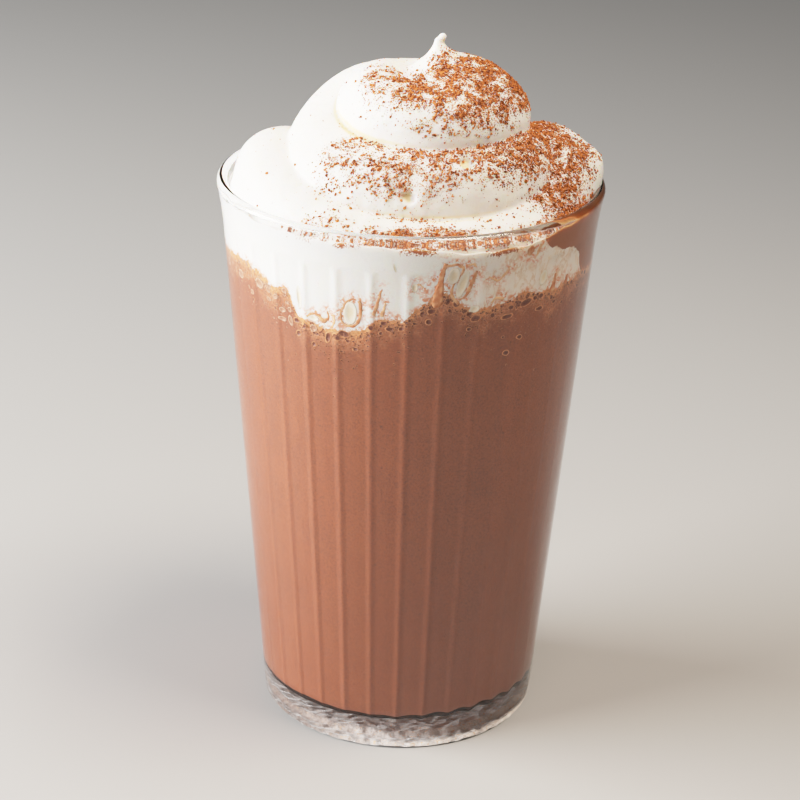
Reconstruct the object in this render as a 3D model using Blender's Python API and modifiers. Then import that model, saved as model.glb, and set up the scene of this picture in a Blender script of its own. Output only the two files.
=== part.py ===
"""A chocolate milkshake in its fluted tumbler, topped with a piped swirl of whipped cream.

The tumbler stands on the XY plane with its axis on +Z; the front is -Y. Units are metres.
"""

from math import ceil, cos, pi, radians, sin

import bmesh
import bpy
from mathutils import Vector

# ---- the tumbler ----------------------------------------------------------------------
HEIGHT = 0.1340  # table to rim
RIM_RADIUS = 0.0450
FOOT_RADIUS = 0.0331  # the straight wall, carried on down to the table
WALL_SLOPE = 0.0847  # growth of the radius for each unit of height
WALL = 0.0025  # glass thickness in the smooth band, and between two ribs
RIM_ROUND = 0.00125  # the fire-polished edge is half a circle
RIM_FLAT = 0.0001
FLARE_HEIGHT = 0.011  # the last stretch below the rim bends outwards
FLOOR = 0.0075  # thickness of the heavy base
FLOOR_ROUND = 0.0030
FOOT_ROUND = 0.0020
PUNT_RISE = 0.0012  # the shallow hollow under the base
PUNT_RADIUS = 0.0235
FOOT_INNER = 0.0262  # the flat ring that it stands on runs from here outwards

RIBS = 32  # ribs inside the wall, which leave upright flutes in the drink
RIB_DEPTH = 0.0009
RIB_TOP = 0.1265  # above this the wall is smooth
RIB_FADE = 0.0050
FACETS_PER_RIB = 3
SEGMENTS = RIBS * FACETS_PER_RIB

GAP = 0.0003  # clearance between solids that touch

# ---- the level of the shake, and of the cream, at the glass ----------------------------
# Compass angles in degrees, 0 at the front and 90 at the right, with the height there.
SHAKE_EDGE = ((-90, 0.1215), (-61, 0.1180), (-40, 0.1135), (-26, 0.1090), (-13, 0.1100),
              (0, 0.1140), (10, 0.1190), (20, 0.1158), (39, 0.1172), (54, 0.1153),
              (77, 0.1128), (105, 0.1165), (140, 0.1120), (180, 0.1160), (225, 0.1125))
CREAM_EDGE = ((-90, 0.1318), (-45, 0.1313), (0, 0.1310), (38, 0.1296), (75, 0.1308),
              (130, 0.1312), (180, 0.1306), (225, 0.1315))
SHAKE_MIDDLE = 0.1120

# ---- the cream above the rim -----------------------------------------------------------
# Each row: turn in degrees, radius of the path, its height, radius of the rope, and the
# middle of the turn in X and Y. The collar turns anticlockwise seen from above and closes
# on itself; the swirl turns clockwise and rises.
COLLAR = ((180, 0.0316, 0.1334, 0.0102, 0.0, 0.0), (220, 0.0310, 0.1305, 0.0095, 0.0, 0.0),
          (270, 0.0305, 0.1273, 0.0080, 0.0, 0.0), (315, 0.0308, 0.1300, 0.0090, 0.0, 0.0),
          (360, 0.0331, 0.1378, 0.0100, 0.0, 0.0), (405, 0.0312, 0.1345, 0.0095, 0.0, 0.0),
          (450, 0.0280, 0.1310, 0.0090, 0.0, 0.0), (500, 0.0290, 0.1310, 0.0092, 0.0, 0.0))
SWIRL = ((-60, 0.0150, 0.1340, 0.0090, 0.0020, 0.0020), (-20, 0.0180, 0.1370, 0.0105, 0.0015, 0.001),
         (20, 0.0190, 0.1370, 0.0115, 0.0010, 0.0), (45, 0.0190, 0.1365, 0.0120, 0.0010, 0.0),
         (90, 0.0185, 0.1360, 0.0123, 0.0010, 0.0), (135, 0.0180, 0.1370, 0.0125, 0.0005, 0.0),
         (180, 0.0170, 0.1395, 0.0125, 0.0, 0.0), (225, 0.0140, 0.1425, 0.0125, -0.0010, 0.0010),
         (270, 0.0110, 0.1455, 0.0120, -0.0040, 0.0020), (315, 0.0100, 0.1485, 0.0110, 0.0, 0.0020),
         (360, 0.0120, 0.1500, 0.0100, 0.0050, 0.0), (405, 0.0120, 0.1495, 0.0100, 0.0050, 0.0),
         (450, 0.0120, 0.1486, 0.0103, 0.0050, 0.0), (495, 0.0120, 0.1490, 0.0100, 0.0050, 0.0),
         (540, 0.0115, 0.1505, 0.0090, 0.0050, 0.0), (590, 0.0080, 0.1530, 0.0075, 0.0050, 0.0010),
         (640, 0.0030, 0.1555, 0.0065, 0.0050, 0.0))
MOUND = ((0.0320, 0.1318), (0.0200, 0.1400), (0.0095, 0.1475), (0.0, 0.1515))  # radius, height
COLLAR_STEPS = 30
SWIRL_STEP = 14.0  # degrees between two sections of the rope
ROPE_SIDES = 12  # an even number
# The drawn-up peak, from inside the swirl to its tip: X, Y, height and radius.
PEAK = ((0.0050, 0.0, 0.1470, 0.0068), (0.0050, 0.0, 0.1530, 0.0074), (0.0047, 0.0, 0.1575, 0.0058),
        (0.0042, 0.0, 0.1605, 0.0034), (0.0041, 0.0, 0.1635, 0.0018), (0.0046, 0.0, 0.1660, 0.0010),
        (0.0056, 0.0, 0.1676, 0.0005))


def clear_scene():
    for obj in list(bpy.data.objects):
        bpy.data.objects.remove(obj)


def new_collection(name):
    collection = bpy.data.collections.new(name)
    bpy.context.scene.collection.children.link(collection)
    return collection


def material(name, color, roughness, transmission=0.0, subsurface=0.0):
    made = bpy.data.materials.new(name)
    made.use_nodes = True
    shader = made.node_tree.nodes["Principled BSDF"]
    shader.inputs["Base Color"].default_value = (*color, 1.0)
    shader.inputs["Roughness"].default_value = roughness
    shader.inputs["Metallic"].default_value = 0.0
    shader.inputs["Transmission Weight"].default_value = transmission
    shader.inputs["Subsurface Weight"].default_value = subsurface
    return made


def add_object(name, mesh, collection, finish=None):
    obj = bpy.data.objects.new(name, mesh)
    collection.objects.link(obj)
    if finish:
        mesh.materials.append(finish)
    return obj


# ---- curves through a few given rows ---------------------------------------------------
def between(rows, at, period=None):
    """The values of rows at a place along their first column, on a smooth curve through them.

    With a period, the rows go round and the last one leads back to the first.
    """
    rows = [tuple(row) for row in rows]
    if period:
        at = rows[0][0] + (at - rows[0][0]) % period
        before = (rows[-1][0] - period, *rows[-1][1:])
        after = [(row[0] + period, *row[1:]) for row in rows[:2]]
        rows = [before, *rows, *after]
    last = len(rows) - 1
    i = next((k for k in range(last) if at <= rows[k + 1][0] and at >= rows[k][0]), last - 1)
    a, b = rows[i], rows[i + 1]
    span = b[0] - a[0]
    t = min(max((at - a[0]) / span, 0.0), 1.0)

    def slope(k, column):
        low, high = rows[max(k - 1, 0)], rows[min(k + 1, last)]
        return (high[column] - low[column]) / (high[0] - low[0]) * span

    values = []
    for column in range(1, len(a)):
        rise = b[column] - a[column]
        start, end = slope(i, column), slope(i + 1, column)
        curve = start * t + (3 * rise - 2 * start - end) * t**2 + (start + end - 2 * rise) * t**3
        values.append(a[column] + curve)
    return values


def smoothstep(t):
    t = min(max(t, 0.0), 1.0)
    return t * t * (3 - 2 * t)


# ---- the glass wall --------------------------------------------------------------------
def outer_radius(z):
    """Outside of the wall: a straight cone that flares a little just below the rim."""
    top = HEIGHT - RIM_ROUND
    straight = FOOT_RADIUS + WALL_SLOPE * z
    flare = RIM_RADIUS - (FOOT_RADIUS + WALL_SLOPE * top)
    along = min(max((z - top + FLARE_HEIGHT) / FLARE_HEIGHT, 0.0), 1.0)
    return straight + flare * along**2


def inner_radius(z, segment):
    """Inside of the wall, where each rib bulges inwards between two sharp valleys."""
    across = (segment % FACETS_PER_RIB) / FACETS_PER_RIB
    bulge = 4 * across * (1 - across)
    fade = smoothstep((RIB_TOP - z) / RIB_FADE)
    return outer_radius(z) - WALL - RIB_DEPTH * bulge * fade


def direction(segment):
    angle = 2 * pi * segment / SEGMENTS
    return cos(angle), sin(angle)


def compass(segment):
    """Degrees from the front, going round by the right."""
    return 360.0 * segment / SEGMENTS + 90.0


def ring(radius, height):
    """One closed section. Radius and height are numbers, or functions of the segment."""
    points = []
    for segment in range(SEGMENTS):
        r = radius(segment) if callable(radius) else radius
        z = height(segment) if callable(height) else height
        x, y = direction(segment)
        points.append(Vector((r * x, r * y, z)))
    return points


def loft(name, rings, bottom, top):
    """A closed body through rings of equal count, with a fan to a point at each end."""
    bm = bmesh.new()
    rows = [[bm.verts.new(point) for point in points] for points in rings]
    low = bm.verts.new((0.0, 0.0, bottom))
    high = bm.verts.new((0.0, 0.0, top))
    for a, b in zip(rows, rows[1:]):
        for k in range(SEGMENTS):
            n = (k + 1) % SEGMENTS
            bm.faces.new((a[k], a[n], b[n], b[k]))
    for k in range(SEGMENTS):
        n = (k + 1) % SEGMENTS
        bm.faces.new((low, rows[0][n], rows[0][k]))
        bm.faces.new((high, rows[-1][k], rows[-1][n]))
    mesh = bpy.data.meshes.new(name)
    bm.to_mesh(mesh)
    bm.free()
    return mesh


def cavity_foot(clearance):
    """Rings that round the corner between the floor and the wall."""
    rings = []
    for angle in (radians(20), radians(55), radians(90)):
        height = FLOOR + FLOOR_ROUND * (1 - cos(angle)) + clearance * cos(angle)
        inset = FLOOR_ROUND * (1 - sin(angle)) + clearance

        def radius(segment, height=height, inset=inset):
            return inner_radius(height, segment) - inset

        rings.append(ring(radius, height))
    return rings


def cavity_cutter(collection):
    """What the drink and the air above it fill: fluted below, smooth and flared at the rim."""
    rings = cavity_foot(0.0)
    for height in (RIB_TOP - RIB_FADE, RIB_TOP):
        rings.append(ring(lambda segment, z=height: inner_radius(z, segment), height))
    crest = RIM_RADIUS - RIM_ROUND - RIM_FLAT
    for angle in (radians(0), radians(35), radians(65), radians(90)):
        radius = crest - RIM_ROUND * cos(angle)
        rings.append(ring(radius, HEIGHT - RIM_ROUND * (1 - sin(angle))))
    rings.append(ring(crest, HEIGHT + 5 * RIM_ROUND))
    mesh = loft("cavity", rings, FLOOR, HEIGHT + 5 * RIM_ROUND)
    cutter = add_object("cavity", mesh, collection)
    cutter.hide_render = True
    cutter.display_type = "WIRE"
    return cutter


def tumbler_profile():
    """The outside of the tumbler as a half section at +X, from the top down to the base."""
    points = [(0.0, HEIGHT)]
    for angle in (radians(90), radians(55), radians(25), radians(0)):
        points.append((RIM_RADIUS - RIM_ROUND * (1 - cos(angle)), HEIGHT - RIM_ROUND * (1 - sin(angle))))
    for height in (HEIGHT - RIM_ROUND - FLARE_HEIGHT / 2, HEIGHT - RIM_ROUND - FLARE_HEIGHT):
        points.append((outer_radius(height), height))
    for angle in (radians(0), radians(45), radians(90)):
        height = FOOT_ROUND * (1 - sin(angle))
        points.append((outer_radius(height) - FOOT_ROUND * (1 - cos(angle)), height))
    points += [(FOOT_INNER, 0.0), (PUNT_RADIUS, PUNT_RISE), (0.0, PUNT_RISE)]
    return points


def turned(name, profile, collection, finish):
    """A half section at +X, turned once round the Z axis."""
    mesh = bpy.data.meshes.new(name)
    edges = [(k, k + 1) for k in range(len(profile) - 1)]
    mesh.from_pydata([(x, 0.0, z) for x, z in profile], edges, [])
    obj = add_object(name, mesh, collection, finish)
    screw = obj.modifiers.new("turn", "SCREW")
    screw.axis = "Z"
    screw.steps = screw.render_steps = SEGMENTS
    screw.use_merge_vertices = True
    screw.merge_threshold = 1e-6
    screw.use_smooth_shade = True
    return obj


def make_glass(parts, cutters):
    finish = material("clear_glass", (0.95, 0.97, 0.97), 0.02, transmission=1.0)
    glass = turned("glass", tumbler_profile(), parts, finish)
    cut = glass.modifiers.new("hollow", "BOOLEAN")
    cut.operation = "DIFFERENCE"
    cut.solver = "EXACT"
    cut.object = cavity_cutter(cutters)
    return glass


# ---- what is in the glass --------------------------------------------------------------
def shake_edge(segment):
    return between(SHAKE_EDGE, compass(segment), 360.0)[0]


def cream_edge(segment):
    return between(CREAM_EDGE, compass(segment), 360.0)[0]


def shake_surface(share, lift):
    """A ring on the face between shake and cream, at a share of the way from axis to wall."""

    def height(segment):
        return SHAKE_MIDDLE + (shake_edge(segment) - SHAKE_MIDDLE) * share**2 + lift

    def radius(segment):
        return share * (inner_radius(height(segment), segment) - GAP)

    return ring(radius, height)


def make_milkshake(parts):
    """The drink: up to its uneven level, in the flutes of the glass."""
    rings = cavity_foot(GAP)
    rings += [shake_surface(share, 0.0) for share in (1.0, 0.66, 0.33)]
    mesh = loft("milkshake", rings, FLOOR + GAP, SHAKE_MIDDLE)
    mesh.shade_smooth()
    mesh.set_sharp_from_angle(angle=radians(30))
    finish = material("chocolate_milkshake", (0.38, 0.17, 0.10), 0.35, subsurface=0.1)
    return add_object("milkshake", mesh, parts, finish)


def rope(name, stations, closed, collection):
    """A rope of cream as a closed mesh. Stations are (point, radius)."""
    data = bpy.data.curves.new(name, "CURVE")
    data.dimensions = "3D"
    data.bevel_depth = 1.0
    data.bevel_resolution = ROPE_SIDES // 2 - 2
    data.use_fill_caps = not closed
    spline = data.splines.new("POLY")
    spline.points.add(len(stations) - 1)
    spline.use_cyclic_u = closed
    for point, (place, radius) in zip(spline.points, stations):
        point.co = (*place, 1.0)
        point.radius = radius
    guide = bpy.data.objects.new(name + "_path", data)
    collection.objects.link(guide)
    bpy.context.view_layer.update()
    mesh = bpy.data.meshes.new_from_object(guide.evaluated_get(bpy.context.evaluated_depsgraph_get()))
    mesh.name = name
    bm = bmesh.new()
    bm.from_mesh(mesh)
    bmesh.ops.remove_doubles(bm, verts=bm.verts, dist=1e-6)
    bmesh.ops.recalc_face_normals(bm, faces=bm.faces)
    bm.to_mesh(mesh)
    bm.free()
    obj = add_object(name, mesh, collection)
    obj.matrix_world = guide.matrix_world
    bpy.data.objects.remove(guide)
    obj.hide_render = True
    obj.display_type = "WIRE"
    return obj


def station(row, turn, sense):
    reach, height, thickness, x, y = row
    angle = radians(turn) * sense
    return Vector((x + reach * cos(angle), y + reach * sin(angle), height)), thickness


def collar_stations():
    """The lowest turn, which lies on the mouth of the glass."""
    turns = [COLLAR[0][0] + 360.0 * k / COLLAR_STEPS for k in range(COLLAR_STEPS)]
    return [station(between(COLLAR, turn, 360.0), turn, 1) for turn in turns]


def swirl_stations():
    """The rope that climbs from the collar through two turns."""
    first, last = SWIRL[0][0], SWIRL[-1][0]
    steps = ceil((last - first) / SWIRL_STEP)
    turns = [first + (last - first) * k / steps for k in range(steps + 1)]
    return [station(between(SWIRL, turn), turn, -1) for turn in turns]


def make_cream(parts, cutters):
    """Cream down to the shake inside the glass, with the piped turns and the peak on top."""
    rings = [shake_surface(share, GAP) for share in (0.33, 0.66, 1.0)]

    def rib_end(segment):
        return max(RIB_TOP - RIB_FADE, shake_edge(segment) + 2 * GAP)

    for height in (rib_end, lambda segment: RIB_TOP, cream_edge):
        rings.append(ring(lambda k, z=height: inner_radius(z(k), k) - GAP, height))
    for radius, height in MOUND[:-1]:
        rings.append(ring(radius, height))
    mesh = loft("whipped_cream", rings, SHAKE_MIDDLE + GAP, MOUND[-1][1])
    finish = material("whipped_cream", (0.90, 0.87, 0.82), 0.5, subsurface=0.2)
    cream = add_object("whipped_cream", mesh, parts, finish)
    turns = (
        rope("collar", collar_stations(), True, cutters),
        rope("swirl", swirl_stations(), False, cutters),
        rope("peak", [(Vector(row[:3]), row[3]) for row in PEAK], False, cutters),
    )
    for turn in turns:
        join = cream.modifiers.new(turn.name, "BOOLEAN")
        join.operation = "UNION"
        join.solver = "EXACT"
        join.use_self = turn.name == "swirl"
        join.object = turn
    return cream


clear_scene()
parts = new_collection("chocolate_milkshake")
cutters = new_collection("cutters")
make_glass(parts, cutters)
make_milkshake(parts)
make_cream(parts, cutters)
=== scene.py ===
# %% [markdown]
# # A chocolate milkshake in a ribbed glass
# A tall tumbler is filled with thick chocolate milkshake. Whipped cream is piped on top in one
# rope that climbs in a swirl, and cocoa is sifted over it. This lesson builds the looks of that
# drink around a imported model, which gives the true sizes: the glass, the drink and the cream
# each stand for one of its solids. The pieces are worked out in millimetres and turned into
# metres only when a mesh is made.

# %% The frame, and the units
from math import pi

import bmesh
import bpy
import numpy as np
from mathutils import Matrix, Vector, noise


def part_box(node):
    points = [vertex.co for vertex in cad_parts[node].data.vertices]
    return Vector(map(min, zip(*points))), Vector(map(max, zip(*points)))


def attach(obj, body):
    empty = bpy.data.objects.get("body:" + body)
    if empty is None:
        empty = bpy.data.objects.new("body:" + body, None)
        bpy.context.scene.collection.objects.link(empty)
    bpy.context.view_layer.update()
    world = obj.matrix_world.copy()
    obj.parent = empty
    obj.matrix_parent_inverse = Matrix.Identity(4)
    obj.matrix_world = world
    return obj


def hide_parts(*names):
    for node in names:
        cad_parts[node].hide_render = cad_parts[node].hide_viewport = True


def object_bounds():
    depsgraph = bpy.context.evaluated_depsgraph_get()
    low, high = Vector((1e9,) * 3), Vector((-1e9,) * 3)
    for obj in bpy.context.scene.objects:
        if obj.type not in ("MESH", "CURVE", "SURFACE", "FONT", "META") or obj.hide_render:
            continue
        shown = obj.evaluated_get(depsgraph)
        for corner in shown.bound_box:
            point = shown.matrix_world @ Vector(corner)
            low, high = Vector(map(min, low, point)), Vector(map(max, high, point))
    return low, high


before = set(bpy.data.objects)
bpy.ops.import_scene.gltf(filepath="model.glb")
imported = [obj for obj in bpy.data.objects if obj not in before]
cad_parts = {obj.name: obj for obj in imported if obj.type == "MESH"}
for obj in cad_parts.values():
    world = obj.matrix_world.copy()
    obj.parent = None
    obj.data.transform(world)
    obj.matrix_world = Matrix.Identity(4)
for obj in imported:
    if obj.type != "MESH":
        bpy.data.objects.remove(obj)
cad_box = [list(corner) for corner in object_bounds()]
scene = bpy.context.scene
MM = 0.001
FULL_TURN = 2 * pi


def put_in_scene(name, data):
    """An object that shows a mesh, a lamp or a camera."""
    made = bpy.data.objects.new(name, data)
    scene.collection.objects.link(made)
    return made


print("nodes:", ", ".join(sorted(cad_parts)))

# %% [markdown]
# ## The camera
# The drink is seen from in front and a little above, with a long lens, so that the glass keeps
# its upright lines. The camera is placed by its distance, its height and three small turns.

# %% The camera
CAMERA_PLACE = Vector((0.0, -0.539562, 0.305108))
CAMERA_DOWN = 0.3993395  # radians below the horizon
CAMERA_LEFT = -0.0022416
CAMERA_ROLL = 0.0271928
LENS = 109.497
SENSOR = 36.0


def make_camera():
    data = bpy.data.cameras.new("camera")
    data.lens = LENS
    data.sensor_width = SENSOR
    camera = put_in_scene("camera", data)
    aim = Matrix.Rotation(-CAMERA_LEFT, 4, "Z") @ Matrix.Rotation(pi / 2 - CAMERA_DOWN, 4, "X")
    roll = Matrix.Rotation(CAMERA_ROLL, 4, "Z")
    camera.matrix_world = Matrix.Translation(CAMERA_PLACE) @ aim @ roll
    scene.camera = camera


make_camera()
print("camera at", tuple(round(value, 3) for value in CAMERA_PLACE))

# %% [markdown]
# ## Nodes in few words
# Materials and Geometry Nodes are both trees of nodes. Here the output of a node is held by a
# small class, so that a sum or a product of two outputs adds the Math node that works it out,
# and a formula in the code reads like a formula.

# %% Outputs that can be added and multiplied
class Field:
    """The output of a node: a number, a colour or a shape that may differ from place to place."""

    def __init__(self, socket):
        self.socket = socket

    def __add__(self, other):
        return maths("ADD", self, other)

    def __sub__(self, other):
        return maths("SUBTRACT", self, other)

    def __rsub__(self, other):
        return maths("SUBTRACT", other, self)

    def __mul__(self, other):
        return maths("MULTIPLY", self, other)

    def __truediv__(self, other):
        return maths("DIVIDE", self, other)

    def __pow__(self, other):
        return maths("POWER", self, other)


def tree_of(*values):
    """The tree that the fields among the values belong to."""
    return next(value.socket.id_data for value in values if isinstance(value, Field))


def connect(made, inputs):
    """Gives a node its inputs: each a number, a colour, or the output of another node."""
    for name, value in inputs.items():
        if isinstance(value, Field):
            made.id_data.links.new(value.socket, made.inputs[name])
        else:
            made.inputs[name].default_value = value


def node(tree, kind, inputs=None, output=0, **settings):
    """Adds a node and hands back one of its outputs."""
    made = tree.nodes.new(kind)
    for name, value in settings.items():
        setattr(made, name, value)
    connect(made, inputs or {})
    return Field(made.outputs[output])


def maths(operation, *values, clamp=False):
    """A Math node, for what has no sign of its own in Python."""
    inputs = dict(enumerate(values))
    return node(tree_of(*values), "ShaderNodeMath", inputs, operation=operation, use_clamp=clamp)


def vectors(operation, *values, output="Vector"):
    """A Vector Math node. SCALE takes its second value as a number."""
    sockets = (0, "Scale") if operation == "SCALE" else (0, 1)
    inputs = dict(zip(sockets, values))
    return node(tree_of(*values), "ShaderNodeVectorMath", inputs, output, operation=operation)


def parts(vector):
    """The X, Y and Z of a vector."""
    made = tree_of(vector).nodes.new("ShaderNodeSeparateXYZ")
    connect(made, {0: vector})
    return [Field(socket) for socket in made.outputs]


def combine(x, y, z):
    return node(tree_of(x, y, z), "ShaderNodeCombineXYZ", {0: x, 1: y, 2: z})


def remap(value, low, high, to_low=0.0, to_high=1.0):
    """The value, stretched so that low to high becomes to_low to to_high, and held there."""
    inputs = {"Value": value, "From Min": low, "From Max": high, "To Min": to_low, "To Max": to_high}
    return node(tree_of(value), "ShaderNodeMapRange", inputs, interpolation_type="SMOOTHSTEP")


def blend(share, first, second):
    """A colour between two colours."""
    inputs = {0: share, 6: first, 7: second}
    return node(tree_of(share), "ShaderNodeMix", inputs, 2, data_type="RGBA", clamp_factor=True)


print("outputs can be added and multiplied")

# %% [markdown]
# ### Groups and meshes from trees
# A rule that is used more than once becomes a node group with named inputs. The same function
# makes both kinds: groups for materials, and trees that a modifier runs on a mesh. A modifier
# knows its inputs by short codes, which are looked up here from their names.

# %% Groups
def spelled(label):
    """A socket's name, from the word that the code uses for it."""
    return label.replace("_", " ").capitalize()


def group(name, kind, rule, output, **inputs):
    """A node group. The rule gets the tree and the inputs, and hands back the one output."""
    tree = bpy.data.node_groups.new(name, kind)
    for label, socket in inputs.items():
        tree.interface.new_socket(spelled(label), in_out="INPUT", socket_type="NodeSocket" + socket)
    label, socket = output
    tree.interface.new_socket(label, in_out="OUTPUT", socket_type="NodeSocket" + socket)
    given = tree.nodes.new("NodeGroupInput").outputs
    result = rule(tree, **{label: Field(given[spelled(label)]) for label in inputs})
    connect(tree.nodes.new("NodeGroupOutput"), {0: result})
    return tree


def mesh_tree(name, rule, **inputs):
    """A Geometry Nodes tree that turns one shape into another."""
    output = ("Geometry", "Geometry")
    return group(name, "GeometryNodeTree", rule, output, geometry="Geometry", **inputs)


def use(tree, shared, **values):
    """A node group placed in a tree with its own values."""
    inputs = {spelled(label): value for label, value in values.items()}
    return node(tree, shared.bl_idname.replace("Tree", "Group"), inputs, node_tree=shared)


def grow(name, mesh, tree, **values):
    """The plain mesh that a Geometry Nodes tree makes from another mesh."""
    source = put_in_scene(name, mesh)
    modifier = source.modifiers.new("grow", "NODES")
    modifier.node_group = tree
    inputs = (item for item in tree.interface.items_tree if item.in_out == "INPUT")
    sockets = {item.name: item.identifier for item in inputs}
    for label, value in values.items():
        modifier[sockets[spelled(label)]] = value
    seen = source.evaluated_get(bpy.context.evaluated_depsgraph_get())
    result = bpy.data.meshes.new_from_object(seen)
    bpy.data.objects.remove(source)
    result.name = name
    return result


def position(tree):
    return node(tree, "GeometryNodeInputPosition")


def named(tree, name):
    """A value that the mesh carries, for a Geometry Nodes tree."""
    return node(tree, "GeometryNodeInputNamedAttribute", {"Name": name}, data_type="FLOAT")


def realized(geometry):
    return node(tree_of(geometry), "GeometryNodeRealizeInstances", {0: geometry})


def dressed(geometry, finish):
    """The end of every tree: real geometry in place of instances, with its material."""
    inputs = {"Geometry": realized(geometry), "Material": finish}
    return node(tree_of(geometry), "GeometryNodeSetMaterial", inputs)


print("group helpers ready")

# %% [markdown]
# ## The wall of the glass, as numbers
# The glass, the drink and the cream all meet at one wall, so its shape is written once. It is a
# slim cone that flares a little below the rim. Inside it, thirty-two upright ribs bulge towards
# the axis, with narrow valleys between them, and the drink that fills the valleys shows as
# upright lines through the smooth outside.

# %% Sizes of the glass, in millimetres
glass_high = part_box("glass")[1]
HEIGHT = glass_high[2] / MM
RIM_RADIUS = glass_high[0] / MM
FOOT_RADIUS = 33.1
WALL_SLOPE = 0.0847
WALL = 2.5
RIM_ROUND = WALL / 2
FLARE_HEIGHT = 11.0
FLOOR = 7.5
FLOOR_ROUND = 3.0
FOOT_ROUND = 2.0
PUNT_RISE = 1.2
PUNT_RADIUS = 23.5
FOOT_INNER = 26.2
RIBS = 32
RIB_DEPTH = 0.28
RIB_TOP = 125.4
RIB_FADE = 3.4
STEPS_PER_RIB = 14
SEGMENTS = RIBS * STEPS_PER_RIB
INTO_WALL = 0.12  # how far the drink reaches into the glass
WALL_TOP = HEIGHT - RIM_ROUND
FLARE = RIM_RADIUS - (FOOT_RADIUS + WALL_SLOPE * WALL_TOP)

ANGLES = np.arange(SEGMENTS) / SEGMENTS * FULL_TURN
COMPASS = np.degrees(ANGLES) + 90.0  # degrees from the front, going round by the right


def wall_outside(z):
    along = np.clip((z - WALL_TOP + FLARE_HEIGHT) / FLARE_HEIGHT, 0, 1)
    return FOOT_RADIUS + WALL_SLOPE * z + FLARE * along**2


def wall_inside(z):
    return wall_outside(z) - WALL


def arc(centre, radius, start, end, steps):
    """Rows of radius and height on part of a circle, in degrees from straight outwards."""
    angle = np.radians(np.linspace(start, end, steps))
    return np.column_stack([centre[0] + radius * np.cos(angle), centre[1] + radius * np.sin(angle)])


def curve(rows, at, period=None):
    """Values on a smooth curve through rows. The first column says where each row lies."""
    rows = np.array(rows, float)
    at = np.asarray(at, float)
    if period:
        shift = np.zeros(rows.shape[1])
        shift[0] = period
        at = rows[0, 0] + (at - rows[0, 0]) % period
        rows = np.vstack([rows[-1] - shift, rows, rows[0] + shift, rows[1] + shift])
    places = rows[:, 0]
    slopes = np.gradient(rows[:, 1:], places, axis=0)
    k = np.clip(np.searchsorted(places, at, side="right") - 1, 0, len(places) - 2)
    span = (places[k + 1] - places[k])[..., None]
    t = np.clip((at - places[k])[..., None] / span, 0, 1)
    start, end = rows[k, 1:], rows[k + 1, 1:]
    bend = (t**3 - 2 * t**2 + t) * span * slopes[k] + (t**3 - t**2) * span * slopes[k + 1]
    return start + (3 * t**2 - 2 * t**3) * (end - start) + bend


print(f"glass {HEIGHT:.1f} mm high and {2 * RIM_RADIUS:.1f} mm across, {SEGMENTS} segments")

# %% Meshes from rings
def new_mesh(name, points, faces=(), edges=(), **attributes):
    """A mesh whose points carry the attributes, each given as one value for each point."""
    mesh = bpy.data.meshes.new(name)
    mesh.from_pydata(points, edges, faces)
    for label, values in attributes.items():
        carrier = mesh.attributes.new(label, "FLOAT", "POINT")
        carrier.data.foreach_set("value", np.ravel(values))
    return mesh


def skin(name, radii, heights, ends=None, **attributes):
    """A closed skin through rings round the axis.

    Radii and heights hold a row for each ring and a column for each angle, and so does an
    attribute. With ends, the heights of two points on the axis, a fan to each point closes the
    skin. Without them the last ring joins the first.
    """
    shape = (len(radii), SEGMENTS)
    radii, heights = np.broadcast_to(radii, shape), np.broadcast_to(heights, shape)
    attributes = {label: np.broadcast_to(values, shape) for label, values in attributes.items()}
    rings = np.stack([radii * np.cos(ANGLES), radii * np.sin(ANGLES), heights], axis=-1)
    points = (rings.reshape(-1, 3) * MM).tolist()
    index = np.arange(radii.size).reshape(shape)
    after = np.roll(index, -1, axis=1)
    quads = np.stack([index, after, np.roll(after, -1, axis=0), np.roll(index, -1, axis=0)], axis=-1)
    if ends is None:
        return new_mesh(name, points, quads.reshape(-1, 4).tolist(), **attributes)
    low, high = len(points), len(points) + 1
    points += [(0, 0, end * MM) for end in ends]
    faces = quads[:-1].reshape(-1, 4).tolist()
    faces += np.column_stack([np.full(SEGMENTS, low), after[0], index[0]]).tolist()
    faces += np.column_stack([np.full(SEGMENTS, high), index[-1], after[-1]]).tolist()
    for label, values in attributes.items():
        attributes[label] = [*values.ravel(), values[0].mean(), values[-1].mean()]
    return new_mesh(name, points, faces, **attributes)


def finish_piece(name, mesh, slot, *nodes):
    """A smooth piece that rides on the one body and hides the nodes it stands for. The slot is not
    used.
    """
    mesh.shade_smooth()
    piece = put_in_scene(name, mesh)
    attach(piece, "root")
    if nodes:
        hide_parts(*nodes)
    triangles = sum(len(face.vertices) - 2 for face in mesh.polygons)
    print(f"{name}: {triangles} triangles")
    return piece


print("mesh helpers ready")

# %% [markdown]
# ## Pressing the ribs
# A glassmaker presses the ribs into the hot wall with a ribbed plunger. Geometry Nodes do the
# same here: a tree moves each point of a round skin towards the axis by a rule that repeats
# round the wall. The rule gives a bulge between two valleys, and a ramp cuts every bulge off
# below the rim, which leaves a rounded arch. The drink and the cream go through the same tree,
# so they fill the valleys exactly.

# %% The rib tree
RIB_SHARPNESS = 11.0
ARCH_SOFTNESS = 0.06


def rib_rule(tree, geometry, ribs, depth, sharpness, top, fade, finish):
    x, y, z = parts(position(tree))
    across = maths("FRACT", maths("ARCTAN2", y, x) / FULL_TURN * ribs)
    valley = (maths("COSINE", across * FULL_TURN) * 0.5 + 0.5) ** sharpness
    ramp = maths("DIVIDE", z - (top - fade), fade, clamp=True) ** 2.0
    left = maths("SMOOTH_MAX", 1.0 - valley - ramp, 0.0, ARCH_SOFTNESS)
    inwards = left * depth * named(tree, "ribbed")
    out = vectors("NORMALIZE", combine(x, y, 0.0))
    inputs = {"Geometry": geometry, "Offset": vectors("SCALE", out, inwards * -1.0)}
    return dressed(node(tree, "GeometryNodeSetPosition", inputs), finish)


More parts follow.
